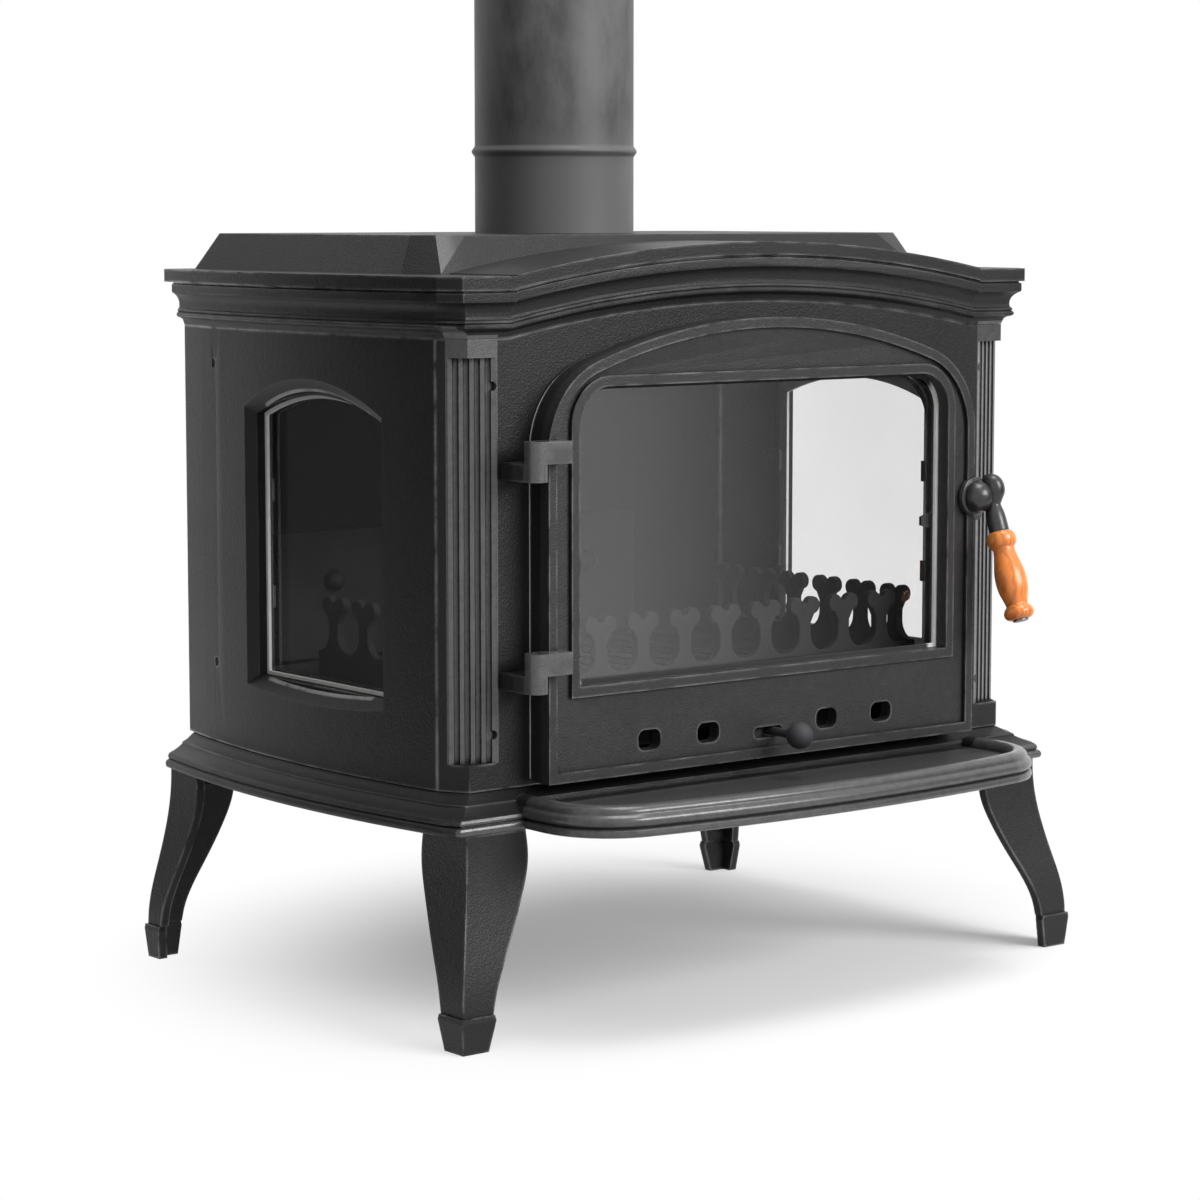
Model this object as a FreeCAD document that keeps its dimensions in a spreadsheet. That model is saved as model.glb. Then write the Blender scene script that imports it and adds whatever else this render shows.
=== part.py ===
import FreeCAD
import Part
import math
import os
import re
from types import SimpleNamespace

# A free-standing cast iron wood stove, in millimetres: x to the right, y to the back, z up,
# with its origin on the floor under the middle of its box.

# Driving dimensions
SIZES = {
    # Play, seams and cuts
    "overrun": 5,
    "seam": 0.3,
    "running": 0.05,
    # Plan of the body
    "body_front": 164,
    "body_back": 287,
    "arris_half": 312,
    "facet_across": 15,
    "joint_front": 137,
    "back_half": 307,
    "bow_radius": 1188,
    "side_wall": 10,
    "front_wall": 9,
    "back_wall": 9,
    # Storey heights
    "leg_height": 179,
    "base_height": 31,
    "body_height": 382,
    "cornice_height": 40,
    "plate_thick": 12,
    "crown_height": 33,
    # Base casting
    "base_reach": 30,
    "base_back_in": 9,
    "lip_side_in": 51,
    "lip_out": 139,
    "lip_corner": 70,
    "lip_bow": 1500,
    "recess_side_in": 42,
    "recess_in": 38,
    "recess_depth": 18,
    # Legs
    "leg_front_out": 27,
    "leg_rear_in": 2,
    "leg_side_out": 8,
    "leg_rear_side_out": 28,
    "leg_width": 62,
    "leg_rear_flank": 44,
    "leg_wall": 9,
    "leg_kick": 22,
    "leg_front_kick": 24,
    "leg_rear_kick": 9,
    "toe_lip": 2.5,
    "leg_pad": 8,
    "leg_bolt_radius": 5,
    "leg_bolt_grip": 20,
    "bolt_head_radius": 9,
    "bolt_head_height": 7,
    # Front casting
    "flute_front": 30,
    "flute_side": 18.5,
    "flute_stop_low": 23,
    "flute_stop_high": 16,
    "flute_radius": 2.8,
    "flute_screw_radius": 4,
    "flute_screw_inset": 24,
    # Arched front
    "arch_side_in": 42,
    "arch_rise": 27,
    # Cornice and top
    "cornice_reach": 13,
    "plate_reach": 15,
    "plate_back_out": 16,
    "flange_thick": 8,
    "crest_web": 10,
    "crown_side_in": 27,
    "crown_rear_side_in": 7,
    "crown_front_in": 81,
    "crown_back_in": 8,
    "crown_corner_across": 20,
    "crown_corner_along": 31,
    "crown_side_slope": 18,
    "crown_corner_slope": 21,
    "crown_facet_slope": 24,
    "crown_front_slope": 17,
    "crown_back_slope": 15,
    "crown_wall": 14,
    "roof_thick": 10,
    # Flue
    "flue_in": 159,
    "pipe_radius": 75,
    "pipe_wall": 2,
    "pipe_length": 253,
    "bead_rise": 71,
    "bead_height": 10,
    "bead_proud": 3,
    "spigot_rise": 45,
    "spigot_wall": 7,
    "collar_radius": 95,
    "collar_thick": 9,
    "collar_bolt_radius": 4,
    "collar_bolt_ring": 84,
    # Side windows
    "side_window_middle": 40,
    "side_window_half": 101,
    "side_window_sill": 70,
    "side_window_head": 75,
    "side_window_rise": 20,
    "bevel_width": 15,
    "bevel_depth": 13,
    "seat_depth": 21,
    "seat_margin": 26,
    "glass_thick": 4,
    "gasket_thick": 3,
    "gasket_proud": 3,
    "glass_lap": 8,
    "clip_thick": 3,
    "clip_width": 20,
    "clip_screw_radius": 2.5,
    "clip_head_radius": 4.5,
    "clip_screw_grip": 5,
    "panel_screw_in": 72,
    "panel_screw_low": 74,
    "panel_screw_high": 33,
    "panel_screw_radius": 4,
    "panel_screw_depth": 6,
    # Door
    "door_gap": 4,
    "door_side_in": 62,
    "door_foot": 4,
    "door_over": 9,
    "door_corner": 80,
    "door_crown": 595,
    "door_thick": 22,
    "door_plate": 10,
    "door_lap": 25,
    "sill_lap": 8,
    "door_wall": 12,
    "rim_width": 9,
    "rim_proud": 4,
    "rope_inset": 2,
    "rope_width": 8,
    "window_side_in": 34,
    "window_sill": 85,
    "window_head": 51,
    "window_corner": 33,
    "window_bead": 9,
    "window_bead_proud": 3.5,
    "clip_height": 202,
    "clip_reach": 14,
    # Air control
    "air_hole_inner": 70,
    "air_hole_outer": 137,
    "air_hole_height": 32,
    "air_hole_width": 25,
    "air_hole_tall": 18,
    "air_hole_corner": 7,
    "slot_length": 34,
    "slot_tall": 10,
    "slot_height": 26,
    "knob_rest": 7,
    "stem_radius": 4,
    "stem_length": 34,
    "knob_radius": 12,
    "shutter_half": 165,
    "shutter_tall": 23,
    "shutter_thick": 3,
    "guide_tall": 3.8,
    "guide_lip": 2.4,
    # Hinges
    "hinge_side_out": 19,
    "hinge_out": 11,
    "hinge_eye": 10,
    "pin_radius": 4,
    "pin_clear": 2,
    "frame_lug_height": 15,
    "door_lug_height": 19,
    "upper_lug_drop": 113,
    "lower_lug": 100,
    "door_lug_reach": 31,
    # Handle
    "handle_height": 224,
    "hub_radius": 18,
    "hub_thick": 4,
    "dome_radius": 15.5,
    "spindle_radius": 7,
    "boss_back": 7,
    "knuckle_side": 12,
    "knuckle_front": 13,
    "knuckle_up": 8,
    "knuckle_radius": 9,
    "arm_radius": 6,
    "neck_radius": 6,
    "neck_length": 24,
    "ferrule_length": 24,
    "ferrule_radius": 9.5,
    "handle_tilt": 20,
    "grip_length": 84,
    "grip_radius": 14.5,
    "grip_bore": 3.5,
    "tongue_reach": 21,
    "tongue_half": 8,
    "tongue_thick": 4,
    "tongue_room": 23,
    "catch_reach": 27,
    "catch_angle": 45,
    "catch_head_radius": 5,
    "catch_head_thick": 4,
    "catch_stud_radius": 3,
    "catch_nut_radius": 6,
    "catch_nut_thick": 5,
    # Firebox
    "carrier_side_in": 92,
    "carrier_front_in": 24,
    "carrier_back_in": 42,
    "carrier_wall": 8,
    "carrier_height": 48,
    "grate_side_in": 55,
    "grate_thick": 12,
    "grate_bar": 16,
    "grate_gap": 12,
    "grate_border": 30,
    "guard_front_in": 16,
    "guard_side_in": 13,
    "guard_corner": 14,
    "guard_tail": 81,
    "guard_thick": 8,
    "guard_strip": 24,
    "guard_height": 75,
    "guard_pitch": 48,
    "guard_neck": 14,
    "guard_spread": 20,
    "guard_lobe": 8,
    "liner_side_in": 34,
    "liner_height": 122,
    "liner_thick": 10,
    "liner_bolt_in": 63,
    "liner_bolt_rise": 74,
    "liner_bolt_radius": 4,
    "liner_dome_radius": 11,
    "bracket_in": 92,
    "bracket_width": 12,
    "bracket_tall": 14,
    "bracket_length": 170,
    "bracket_drop": 52,
    "baffle_side_in": 45,
    "baffle_front": 20,
    "baffle_thick": 8,
    # Ash pan
    "pan_play": 3,
    "pan_front_in": 22,
    "pan_back_in": 20,
    "pan_tall": 30,
    "pan_rail_in": 85,
    "pan_rail_width": 20,
    "pan_rail_tall": 14,
    "pan_wall": 2,
    "pan_loop_half": 40,
    "pan_loop_wire": 3,
    "pan_loop_reach": 16,
    # Tie rods
    "rod_radius": 4,
    "rod_front_in": 27,
    "rod_side_in": 27,
    "rod_back_in": 72,
    "rod_back_side_in": 18,
    "rod_nut_radius": 7.5,
    "rod_nut_thick": 7,
}

# Places that follow from another size and a named clearance
SPANS = {
    "joint_half": "arris_half + facet_across",
    "base_back": "body_back - base_back_in",
    "lip_half": "joint_half - lip_side_in",
    "lip_reach": "body_front + lip_out",
    "recess_half": "back_half - recess_side_in",
    "recess_front": "body_front - recess_in",
    "recess_back": "base_back - recess_in",
    "leg_half": "joint_half + leg_side_out",
    "leg_rear_half": "back_half + leg_rear_side_out",
    "leg_front": "body_front + leg_front_out",
    "leg_rear": "base_back - leg_rear_in",
    "arch_half": "arris_half - arch_side_in",
    "plate_back": "body_back + plate_back_out",
    "crown_half": "joint_half - crown_side_in",
    "crown_rear_half": "back_half - crown_rear_side_in",
    "crown_front": "body_front - crown_front_in",
    "crown_back": "body_back - crown_back_in",
    "flue_back": "crown_back - flue_in",
    "side_window_spring": "body_height - side_window_head",
    "panel_screw_back": "body_back - panel_screw_in",
    "door_half": "arris_half - door_side_in",
    "door_height": "body_height + door_over",
    "window_half": "door_half - window_side_in",
    "window_top": "door_height - window_head",
    "hinge_half": "door_half + hinge_side_out",
    "hinge_front": "body_front + door_gap + door_thick + hinge_out",
    "upper_lug": "door_height - upper_lug_drop",
    "handle_side": "door_half",
    "grate_half": "back_half - grate_side_in",
    "carrier_half": "back_half - carrier_side_in",
    "carrier_front": "body_front - carrier_front_in",
    "carrier_back": "body_back - carrier_back_in",
    "guard_side": "grate_half - guard_side_in",
    "guard_half": "guard_side - guard_corner",
    "guard_front": "carrier_front - guard_front_in",
    "guard_back": "carrier_back - guard_tail",
    "liner_half": "grate_half - liner_side_in",
    "liner_bolt_side": "liner_half - liner_bolt_in",
    "bracket_level": "body_height - bracket_drop",
    "baffle_half": "back_half - baffle_side_in",
    "bracket_side": "baffle_half - bracket_in",
    "pan_front": "carrier_front - pan_front_in",
    "pan_back": "carrier_back - pan_back_in",
    "pan_rail_side": "carrier_half - pan_rail_in",
    "rod_front": "joint_front - rod_front_in",
    "rod_front_half": "joint_half - rod_side_in",
    "rod_back": "body_back - rod_back_in",
    "rod_back_half": "back_half - rod_back_side_in",
}

# Mouldings, from the foot up: shares of the reach outwards and of the height
BASE_PROFILE_SHARES = (
    (0.93, 0), (0.98, 0.03), (1, 0.09), (1, 0.16), (0.97, 0.22), (0.9, 0.25), (0.88, 0.27), (0.91, 0.3),
    (0.91, 0.36), (0.87, 0.43), (0.78, 0.47), (0.72, 0.49), (0.6, 0.55), (0.48, 0.62), (0.4, 0.68), (0.4, 0.73),
    (0.32, 0.76), (0.2, 0.82), (0.11, 0.89), (0.03, 0.95), (-0.08, 1),
)
FILLET_LINE_SHARE = 0.41
LIP_PROFILE_SHARES = (
    (0.1, 0), (0.03, 0.03), (0, 0.1), (0.01, 0.2), (0.07, 0.25), (0.12, 0.27), (0.12, 0.29), (0.06, 0.31),
    (0.03, 0.38), (0.04, 0.48), (0.1, 0.54), (0.2, 0.58), (0.26, 0.62),
)
DISH_INSET_SHARE = 0.5
DISH_FLOOR_SHARE = 0.58
CORNICE_PROFILE_SHARES = (
    (0, 0), (0.06, 0.06), (0.14, 0.13), (0.3, 0.17), (0.52, 0.19), (0.62, 0.22), (0.64, 0.26), (0.56, 0.3),
    (0.5, 0.31), (0.56, 0.33), (0.54, 0.37), (0.44, 0.4), (0.4, 0.46), (0.42, 0.54), (0.5, 0.62), (0.66, 0.69),
    (0.86, 0.74), (0.98, 0.76), (1, 0.8), (1, 0.95), (0.86, 0.97), (0.86, 1),
)
# How far the mouldings reach at the corner facets, for each length that they reach at the front
FACET_REACH_SHARE = 1.4
# Leg sections from the top down: shares of the leg's height, of its width and of its kick
LEG_SHARES = (
    (1, 1, 0), (0.93, 1.03, 0.01), (0.84, 1.04, 0.06), (0.69, 0.95, 0.24), (0.51, 0.79, 0.56),
    (0.36, 0.64, 0.84), (0.25, 0.55, 0.97), (0.175, 0.51, 1),
)
# Toe sections from the top down: shares of the leg's height, of its width and of the toe's lip
TOE_SHARES = ((0.175, 0.54, 0.8), (0.15, 0.57, 1), (0, 0.43, 0))
# Places of the four flutes along the corner chamfer
FLUTE_SHARES = (0.18, 0.4, 0.62, 0.84)
# Turned grip from ferrule to end: shares of its length and of its radius
GRIP_SHARES = (
    (0, 0.66), (0.03, 0.82), (0.1, 0.94), (0.17, 0.84), (0.2, 0.68), (0.26, 0.7), (0.5, 0.98), (0.64, 1),
    (0.76, 0.86), (0.82, 0.72), (0.85, 0.82), (0.91, 1), (0.97, 0.88), (1, 0.6),
)
CLIP_TIP_SHARE = 0.4
# Where a guard lobe starts and ends, in degrees round its own centre
LOBE_ANGLES = (-80, 165)
CROWN_FACET_TURN = 79

doc = FreeCAD.newDocument("wood_stove")
sheet = doc.addObject("Spreadsheet::Sheet", "Sizes")
for row, (alias, value) in enumerate(SIZES.items(), start=1):
    sheet.set(f"A{row}", alias)
    sheet.set(f"B{row}", str(value))
    sheet.setAlias(f"B{row}", alias)
doc.recompute()
v = SimpleNamespace(**{alias: float(sheet.get(alias)) for alias in SIZES})
nodes = []


def worked_out(text):
    """Value of a sum of sizes."""
    total, sign = 0, 1
    for word in text.split():
        if word in ("+", "-"):
            sign = 1 if word == "+" else -1
        else:
            total += sign * getattr(v, word)
    return total


for span, text in SPANS.items():
    setattr(v, span, worked_out(text))

# Levels and planes that several pieces share
BODY_FOOT = v.leg_height + v.base_height
BODY_TOP = BODY_FOOT + v.body_height
PLATE_FOOT = BODY_TOP + v.cornice_height
PLATE_TOP = PLATE_FOOT + v.plate_thick
CROWN_TOP = PLATE_TOP + v.crown_height
DOOR_BACK = v.body_front + v.door_gap
DOOR_FACE = DOOR_BACK + v.door_thick
DOOR_SEAT = DOOR_FACE - v.door_plate
HUB_FACE = DOOR_FACE + v.rim_proud
GRATE_FOOT = BODY_FOOT + v.carrier_height
GRATE_TOP = GRATE_FOOT + v.grate_thick
ARCH_RADIUS = (v.arch_half ** 2 + v.arch_rise ** 2) / (2 * v.arch_rise)
ARCH_CENTRE = BODY_TOP + v.arch_rise - ARCH_RADIUS
SPINDLE_LEVEL = BODY_FOOT + v.handle_height


def vec(x, y, z=0):
    return FreeCAD.Vector(x, y, z)


def mirrored(point):
    return vec(-point.x, point.y, point.z)


def linked(text):
    """An expression whose aliases are written as references to the sheet's cells."""
    def reference(word):
        if word[0] in SPANS:
            return f"({linked(SPANS[word[0]])})"
        return f"Sizes.{word[0]}" if word[0] in SIZES else word[0]
    return re.sub(r"[a-z][a-z_]+", reference, text)


def bind(piece, cells):
    for property_path, text in cells.items():
        piece.setExpression(property_path, linked(text))


def node(piece, name):
    piece.Label = name
    nodes.append(piece)
    return piece


def shaped(name, shape):
    """A sub-part whose shape is worked out here from the sheet's values."""
    piece = doc.addObject("Part::Feature", name)
    piece.Shape = shape
    return node(piece, name)


def solid(kind, name, cells, at=("0", "0", "0"), axis=None, turn=0):
    """A primitive with sizes and place bound to the sheet, turned about an axis."""
    piece = doc.addObject("Part::" + kind, name)
    bind(piece, cells)
    if axis:
        piece.Placement = FreeCAD.Placement(vec(0, 0, 0), FreeCAD.Rotation(axis, turn))
    for letter, text in zip("xyz", at):
        piece.setExpression("Placement.Base." + letter, linked(text))
    return piece


def fuse(name, pieces):
    piece = doc.addObject("Part::MultiFuse", name)
    piece.Shapes = pieces
    return piece


def cut(name, base, tool):
    piece = doc.addObject("Part::Cut", name)
    piece.Base = base
    piece.Tool = tool
    return piece


def new_body(name):
    return node(doc.addObject("PartDesign::Body", name), name)


def sketch(body, plane, edges, lift="0"):
    """A sketch on one of the body's own origin planes, lifted along that plane's normal."""
    made = body.newObject("Sketcher::SketchObject", body.Name + "_sketch")
    made.AttachmentSupport = [(next(one for one in body.Origin.OriginFeatures if one.Role == plane), "")]
    made.MapMode = "FlatFace"
    made.setExpression("AttachmentOffset.Base.z", linked(lift))
    made.addGeometry(edges, False)
    return made


def feature(body, kind, profile, length, back=False):
    made = body.newObject("PartDesign::" + kind, body.Name + "_" + kind.lower())
    made.Profile = profile
    made.setExpression("Length", linked(length))
    made.Reversed = back
    body.Tip = made
    return made


def pad(body, plane, edges, length, lift="0", back=False):
    return feature(body, "Pad", sketch(body, plane, edges, lift), length, back)


def pocket(body, plane, edges, length, lift="0", back=False):
    return feature(body, "Pocket", sketch(body, plane, edges, lift), length, back)


def turned(body, outline):
    """A body of revolution: the outline, in (radius, height), goes round the body's own z axis."""
    profile = sketch(body, "XZ_Plane", ring([vec(*point) for point in outline]))
    made = body.newObject("PartDesign::Revolution", body.Name + "_revolution")
    made.Profile = profile
    made.ReferenceAxis = (profile, ["V_Axis"])
    made.Angle = 360
    body.Tip = made
    return made


def place(body, at, axis=None, turn=0):
    if axis:
        body.Placement = FreeCAD.Placement(vec(0, 0, 0), FreeCAD.Rotation(axis, turn))
    for letter, text in zip("xyz", at):
        body.setExpression("Placement.Base." + letter, linked(text))


def ring(points):
    """Straight edges round a closed list of points."""
    return [Part.LineSegment(start, end) for start, end in zip(points, points[1:] + points[:1])]


def rectangle(left, right, low, high):
    return ring([vec(left, low), vec(right, low), vec(right, high), vec(left, high)])


def circle(across, up, radius):
    return Part.Circle(vec(across, up), vec(0, 0, 1), radius)


def rounded(across, up, width, tall, corner):
    """A rectangle about a middle point, with round corners."""
    x, y = width / 2 - corner, tall / 2 - corner
    edges = []
    for quarter in range(4):
        turn = math.pi / 2 * quarter
        next_turn = turn + math.pi / 2
        centre = corner_of(across, up, x, y, quarter)
        following = corner_of(across, up, x, y, quarter + 1)
        angles = (turn, (turn + next_turn) / 2, next_turn)
        start, middle, end = (centre + polar(corner, angle) for angle in angles)
        edges.append(Part.Arc(start, middle, end))
        reach = following + polar(corner, next_turn)
        if (reach - end).Length > v.running:
            edges.append(Part.LineSegment(end, reach))
    return edges


def corner_of(across, up, x, y, quarter):
    signs = ((1, 1), (-1, 1), (-1, -1), (1, -1))[quarter % 4]
    return vec(across + signs[0] * x, up + signs[1] * y)


def polar(radius, angle):
    return vec(radius * math.cos(angle), radius * math.sin(angle))


def arc_about(centre, radius, start, end):
    """An arc about a centre from one angle to another."""
    return Part.Arc(*(centre + polar(radius, angle) for angle in (start, (start + end) / 2, end)))


def wire(edges):
    return Part.Wire([edge.toShape() for edge in edges])


def box(x0, x1, y0, y1, z0, z1):
    return Part.makeBox(x1 - x0, y1 - y0, z1 - z0, vec(x0, y0, z0))


def rod(start, direction, length, radius):
    return Part.makeCylinder(radius, length, start, direction)


def group(name, shapes):
    """Like fasteners share one node as separate solids."""
    return shaped(name, Part.makeCompound(shapes))


UP = vec(0, 0, 1)
FORWARD = vec(0, -1, 0)
RIGHT = vec(1, 0, 0)


# Plan of the body: straight back, bowed sides, corner facets, straight front
def bow_centre():
    """Centre of the right side's bow, from its two ends and its radius."""
    joint = vec(v.joint_half, -v.joint_front)
    rear = vec(v.back_half, v.body_back)
    chord = rear - joint
    sideways = vec(-chord.y, chord.x).normalize()
    return (joint + rear) * 0.5 + sideways * math.sqrt(v.bow_radius ** 2 - (chord.Length / 2) ** 2)


BOW = bow_centre()


def side_at(offset, y):
    """Half width of the bowed side at a depth y, moved outwards by offset."""
    return BOW.x + math.sqrt((v.bow_radius + offset) ** 2 - (y - BOW.y) ** 2)


def plan_corners(offset):
    """Joint and arris of the right front corner, moved outwards by offset."""
    joint = vec(v.joint_half, -v.joint_front)
    facet = (vec(v.arris_half, -v.body_front) - joint).normalize()
    reach = offset * (FACET_REACH_SHARE if offset > 0 else 1)
    start = joint + vec(-facet.y, facet.x) * reach
    to_start = start - BOW
    along = to_start.dot(facet)
    gap = to_start.Length ** 2 - (v.bow_radius + offset) ** 2
    step = -along - math.sqrt(along ** 2 - gap)
    if abs(step) > abs(-along + math.sqrt(along ** 2 - gap)):
        step = -along + math.sqrt(along ** 2 - gap)
    front = -v.body_front - offset
    return start + facet * step, start + facet * ((front - start.y) / facet.y)


def plan(offset, back, z):
    """Closed plan outline at a level, moved outwards by offset, ending at a straight back."""
    joint, arris = plan_corners(offset)
    middle = (joint.y + back) / 2
    rear = vec(side_at(offset, back), back)
    waist = vec(side_at(offset, middle), middle)
    right = [Part.Arc(rear, waist, joint), Part.LineSegment(joint, arris)]
    left = [Part.LineSegment(mirrored(arris), mirrored(joint)),
            Part.Arc(mirrored(joint), mirrored(waist), mirrored(rear))]
    edges = [Part.LineSegment(mirrored(rear), rear)] + right + [Part.LineSegment(arris, mirrored(arris))] + left
    outline = wire(edges)
    outline.translate(vec(0, 0, z))
    return outline


def moulding(shares, reach, foot, height, back):
    """Solid moulded plate, ruled between plan outlines at each step of its profile."""
    outlines = [plan(out * reach, back, foot + up * height) for out, up in shares]
    return Part.makeLoft(outlines, True, True)


def prism(outline, height):
    return Part.Face(outline).extrude(vec(0, 0, height))


# Base casting
def lip_plan(inset, back, z):
    """Outline of the ash lip moved in by inset: a flat bow with tangent corner arcs."""
    bow = vec(0, v.lip_bow - v.lip_reach)
    x = v.lip_half - v.lip_corner
    y = bow.y - math.sqrt((v.lip_bow - v.lip_corner) ** 2 - x ** 2)
    turn = math.atan2(y - bow.y, x)
    corner = vec(x, y)
    radius = v.lip_corner - inset
    half = v.lip_half - inset
    edges = [Part.LineSegment(vec(-half, back), vec(half, back)),
             Part.LineSegment(vec(half, back), vec(half, y)),
             arc_about(corner, radius, 0, turn),
             arc_about(bow, v.lip_bow - inset, turn, -math.pi - turn),
             arc_about(mirrored(corner), radius, -math.pi - turn, -math.pi),
             Part.LineSegment(vec(-half, y), vec(-half, back))]
    outline = wire(edges)
    outline.translate(vec(0, 0, z))
    return outline


def leg_corners():
    """Each leg's name, its outer corner at the top, its inward directions, its flank's width and its kick."""
    ends = (("front", v.leg_half, -v.leg_front, 1, v.leg_width, v.leg_front_kick),
            ("rear", v.leg_rear_half, v.leg_rear, -1, v.leg_rear_flank, v.leg_rear_kick))
    for end, half, y, along, flank, kick in ends:
        for side, across in (("left", 1), ("right", -1)):
            yield f"leg_{end}_{side}", vec(-across * half, y), across, along, flank, kick


def rod_spots():
    for half, y in ((v.rod_front_half, -v.rod_front), (v.rod_back_half, v.rod_back)):
        for side in (-1, 1):
            yield vec(side * half, y)


def leg_bolt_spots():
    for _, corner, across, along, flank, _ in leg_corners():
        yield corner + vec(across * v.leg_width, along * flank) * 0.5


def base_plate():
    ring_solid = moulding(BASE_PROFILE_SHARES, v.base_reach, v.leg_height, v.base_height, v.base_back)
    inner = -v.body_front + v.front_wall
    lip = Part.makeLoft([lip_plan(share * v.base_reach, inner, v.leg_height + up * v.base_height)
                         for share, up in LIP_PROFILE_SHARES], True, True)
    fillet_line = -v.body_front - FILLET_LINE_SHARE * v.base_reach
    dish = prism(lip_plan(DISH_INSET_SHARE * v.base_reach, fillet_line,
                          v.leg_height + DISH_FLOOR_SHARE * v.base_height), v.base_height)
    recess = box(-v.recess_half, v.recess_half, -v.recess_front, v.recess_back,
                 v.leg_height - v.overrun, v.leg_height + v.recess_depth)
    holes = [rod(spot + UP * (v.leg_height - v.overrun), UP, v.overrun + v.leg_bolt_grip + v.seam,
                 v.leg_bolt_radius + v.seam) for spot in leg_bolt_spots()]
    holes += [rod(spot + UP * (v.leg_height - v.overrun), UP, v.base_height + 2 * v.overrun,
                  v.rod_radius + v.seam) for spot in rod_spots()]
    shape = ring_solid.fuse(lip).removeSplitter()
    return shaped("base_plate", shape.cut([dish, recess] + holes))


# Legs
def leg_wire(corner, across, along, width, flank, z):
    """L section with its outer corner at the given point."""
    wall = v.leg_wall
    steps = [(0, 0), (width, 0), (width, wall), (wall, wall), (wall, flank), (0, flank)]
    points = [vec(corner.x + across * x, corner.y + along * y, z) for x, y in steps]
    return Part.makePolygon(points + points[:1])


def leg(name, corner, across, along, flank, kick):
    out = vec(-across * v.leg_kick, -along * kick)
    step = vec(-across, -along) * v.toe_lip
    shin = Part.makeLoft([leg_wire(corner + out * lean, across, along, width * v.leg_width, width * flank,
                                   height * v.leg_height) for height, width, lean in LEG_SHARES], True, False)
    toe = Part.makeLoft([leg_wire(corner + out + step * lip, across, along, width * v.leg_width, width * flank,
                                  height * v.leg_height) for height, width, lip in TOE_SHARES], True, True)
    low = v.leg_height - v.leg_pad
    x0, x1 = sorted((corner.x, corner.x + across * v.leg_width))
    y0, y1 = sorted((corner.y, corner.y + along * flank))
    top_pad = box(x0, x1, y0, y1, low, v.leg_height)
    middle = corner + vec(across * v.leg_width, along * flank) * 0.5
    hole = rod(middle + UP * (low - v.overrun), UP, v.leg_pad + 2 * v.overrun, v.leg_bolt_radius + v.seam)
    return shaped(name, shin.fuse([toe, top_pad]).cut(hole))


def hexagon(centre, radius, height):
    points = [centre + polar(radius, math.pi / 3 * side) for side in range(6)]
    return Part.Face(Part.makePolygon(points + points[:1])).extrude(vec(0, 0, height))


def legs():
    for spec in leg_corners():
        leg(*spec)
    under = v.leg_height - v.leg_pad
    bolts = []
    for spot in leg_bolt_spots():
        head = hexagon(spot + UP * (under - v.bolt_head_height), v.bolt_head_radius, v.bolt_head_height)
        shank = rod(spot + UP * under, UP, v.leg_pad + v.leg_bolt_grip, v.leg_bolt_radius)
        bolts.append(head.fuse(shank))
    group("leg_bolts", bolts)


def tie_rods():
    rods = []
    nuts = []
    for spot in rod_spots():
        foot = v.leg_height - v.rod_nut_thick
        rods.append(rod(spot + UP * foot, UP, PLATE_FOOT + v.plate_thick / 2 - foot, v.rod_radius))
        bore = rod(spot + UP * (foot - v.overrun), UP, v.rod_nut_thick + 2 * v.overrun, v.rod_radius + v.seam)
        nuts.append(hexagon(spot + UP * foot, v.rod_nut_radius, v.rod_nut_thick).cut(bore))
    group("tie_rods", rods)
    group("tie_rod_nuts", nuts)


# Front casting
def basket_arch(inset, sill=None):
    """Door outline in (x, z) moved in by inset, its foot by sill if given: corner arcs and a flat crown."""
    foot = BODY_FOOT + v.door_foot + (inset if sill is None else sill)
    crown = vec(0, BODY_FOOT + v.door_foot + v.door_height - v.door_crown)
    x = v.door_half - v.door_corner
    corner = vec(x, crown.y + math.sqrt((v.door_crown - v.door_corner) ** 2 - x ** 2))
    turn = math.atan2(corner.y - crown.y, corner.x)
    half = v.door_half - inset
    radius = v.door_corner - inset
    return [Part.LineSegment(vec(-half, foot), vec(half, foot)),
            Part.LineSegment(vec(half, foot), vec(half, corner.y)),
            arc_about(corner, radius, 0, turn),
            arc_about(crown, v.door_crown - inset, turn, math.pi - turn),
            arc_about(mirrored(corner), radius, math.pi - turn, math.pi),
            Part.LineSegment(vec(-half, corner.y), vec(-half, foot))]


def flute_ends():
    """Ends of the right corner's chamfer: on the front face and on the side facet."""
    joint = vec(v.joint_half, -v.joint_front)
    arris = vec(v.arris_half, -v.body_front)
    return arris - vec(v.flute_front, 0), arris + (joint - arris).normalize() * v.flute_side


def lug_outline(back):
    """A hinge tab in plan: a round eye on the pin's axis, running back to the given depth."""
    axis = vec(-v.hinge_half, -v.hinge_front)
    left, right = axis.x - v.hinge_eye, axis.x + v.hinge_eye
    return [arc_about(axis, v.hinge_eye, math.pi, 2 * math.pi),
            Part.LineSegment(vec(right, axis.y), vec(right, back)),
            Part.LineSegment(vec(right, back), vec(left, back)),
            Part.LineSegment(vec(left, back), vec(left, axis.y))]


def door_lug_outline():
    """The door's hinge tab in plan: an eye on the pin's axis and an arm on to the door's face."""
    axis = vec(-v.hinge_half, -v.hinge_front)
    front, back = axis.y - v.hinge_eye, -DOOR_FACE + v.door_plate / 2
    behind = axis.y + v.hinge_eye
    root = axis.x + v.door_lug_reach
    edge = -v.door_half
    return [arc_about(axis, v.hinge_eye, math.pi / 2, 3 * math.pi / 2),
            Part.LineSegment(vec(axis.x, front), vec(root, front)),
            Part.LineSegment(vec(root, front), vec(root, back)),
            Part.LineSegment(vec(root, back), vec(edge, back)),
            Part.LineSegment(vec(edge, back), vec(edge, behind)),
            Part.LineSegment(vec(edge, behind), vec(axis.x, behind))]


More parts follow.
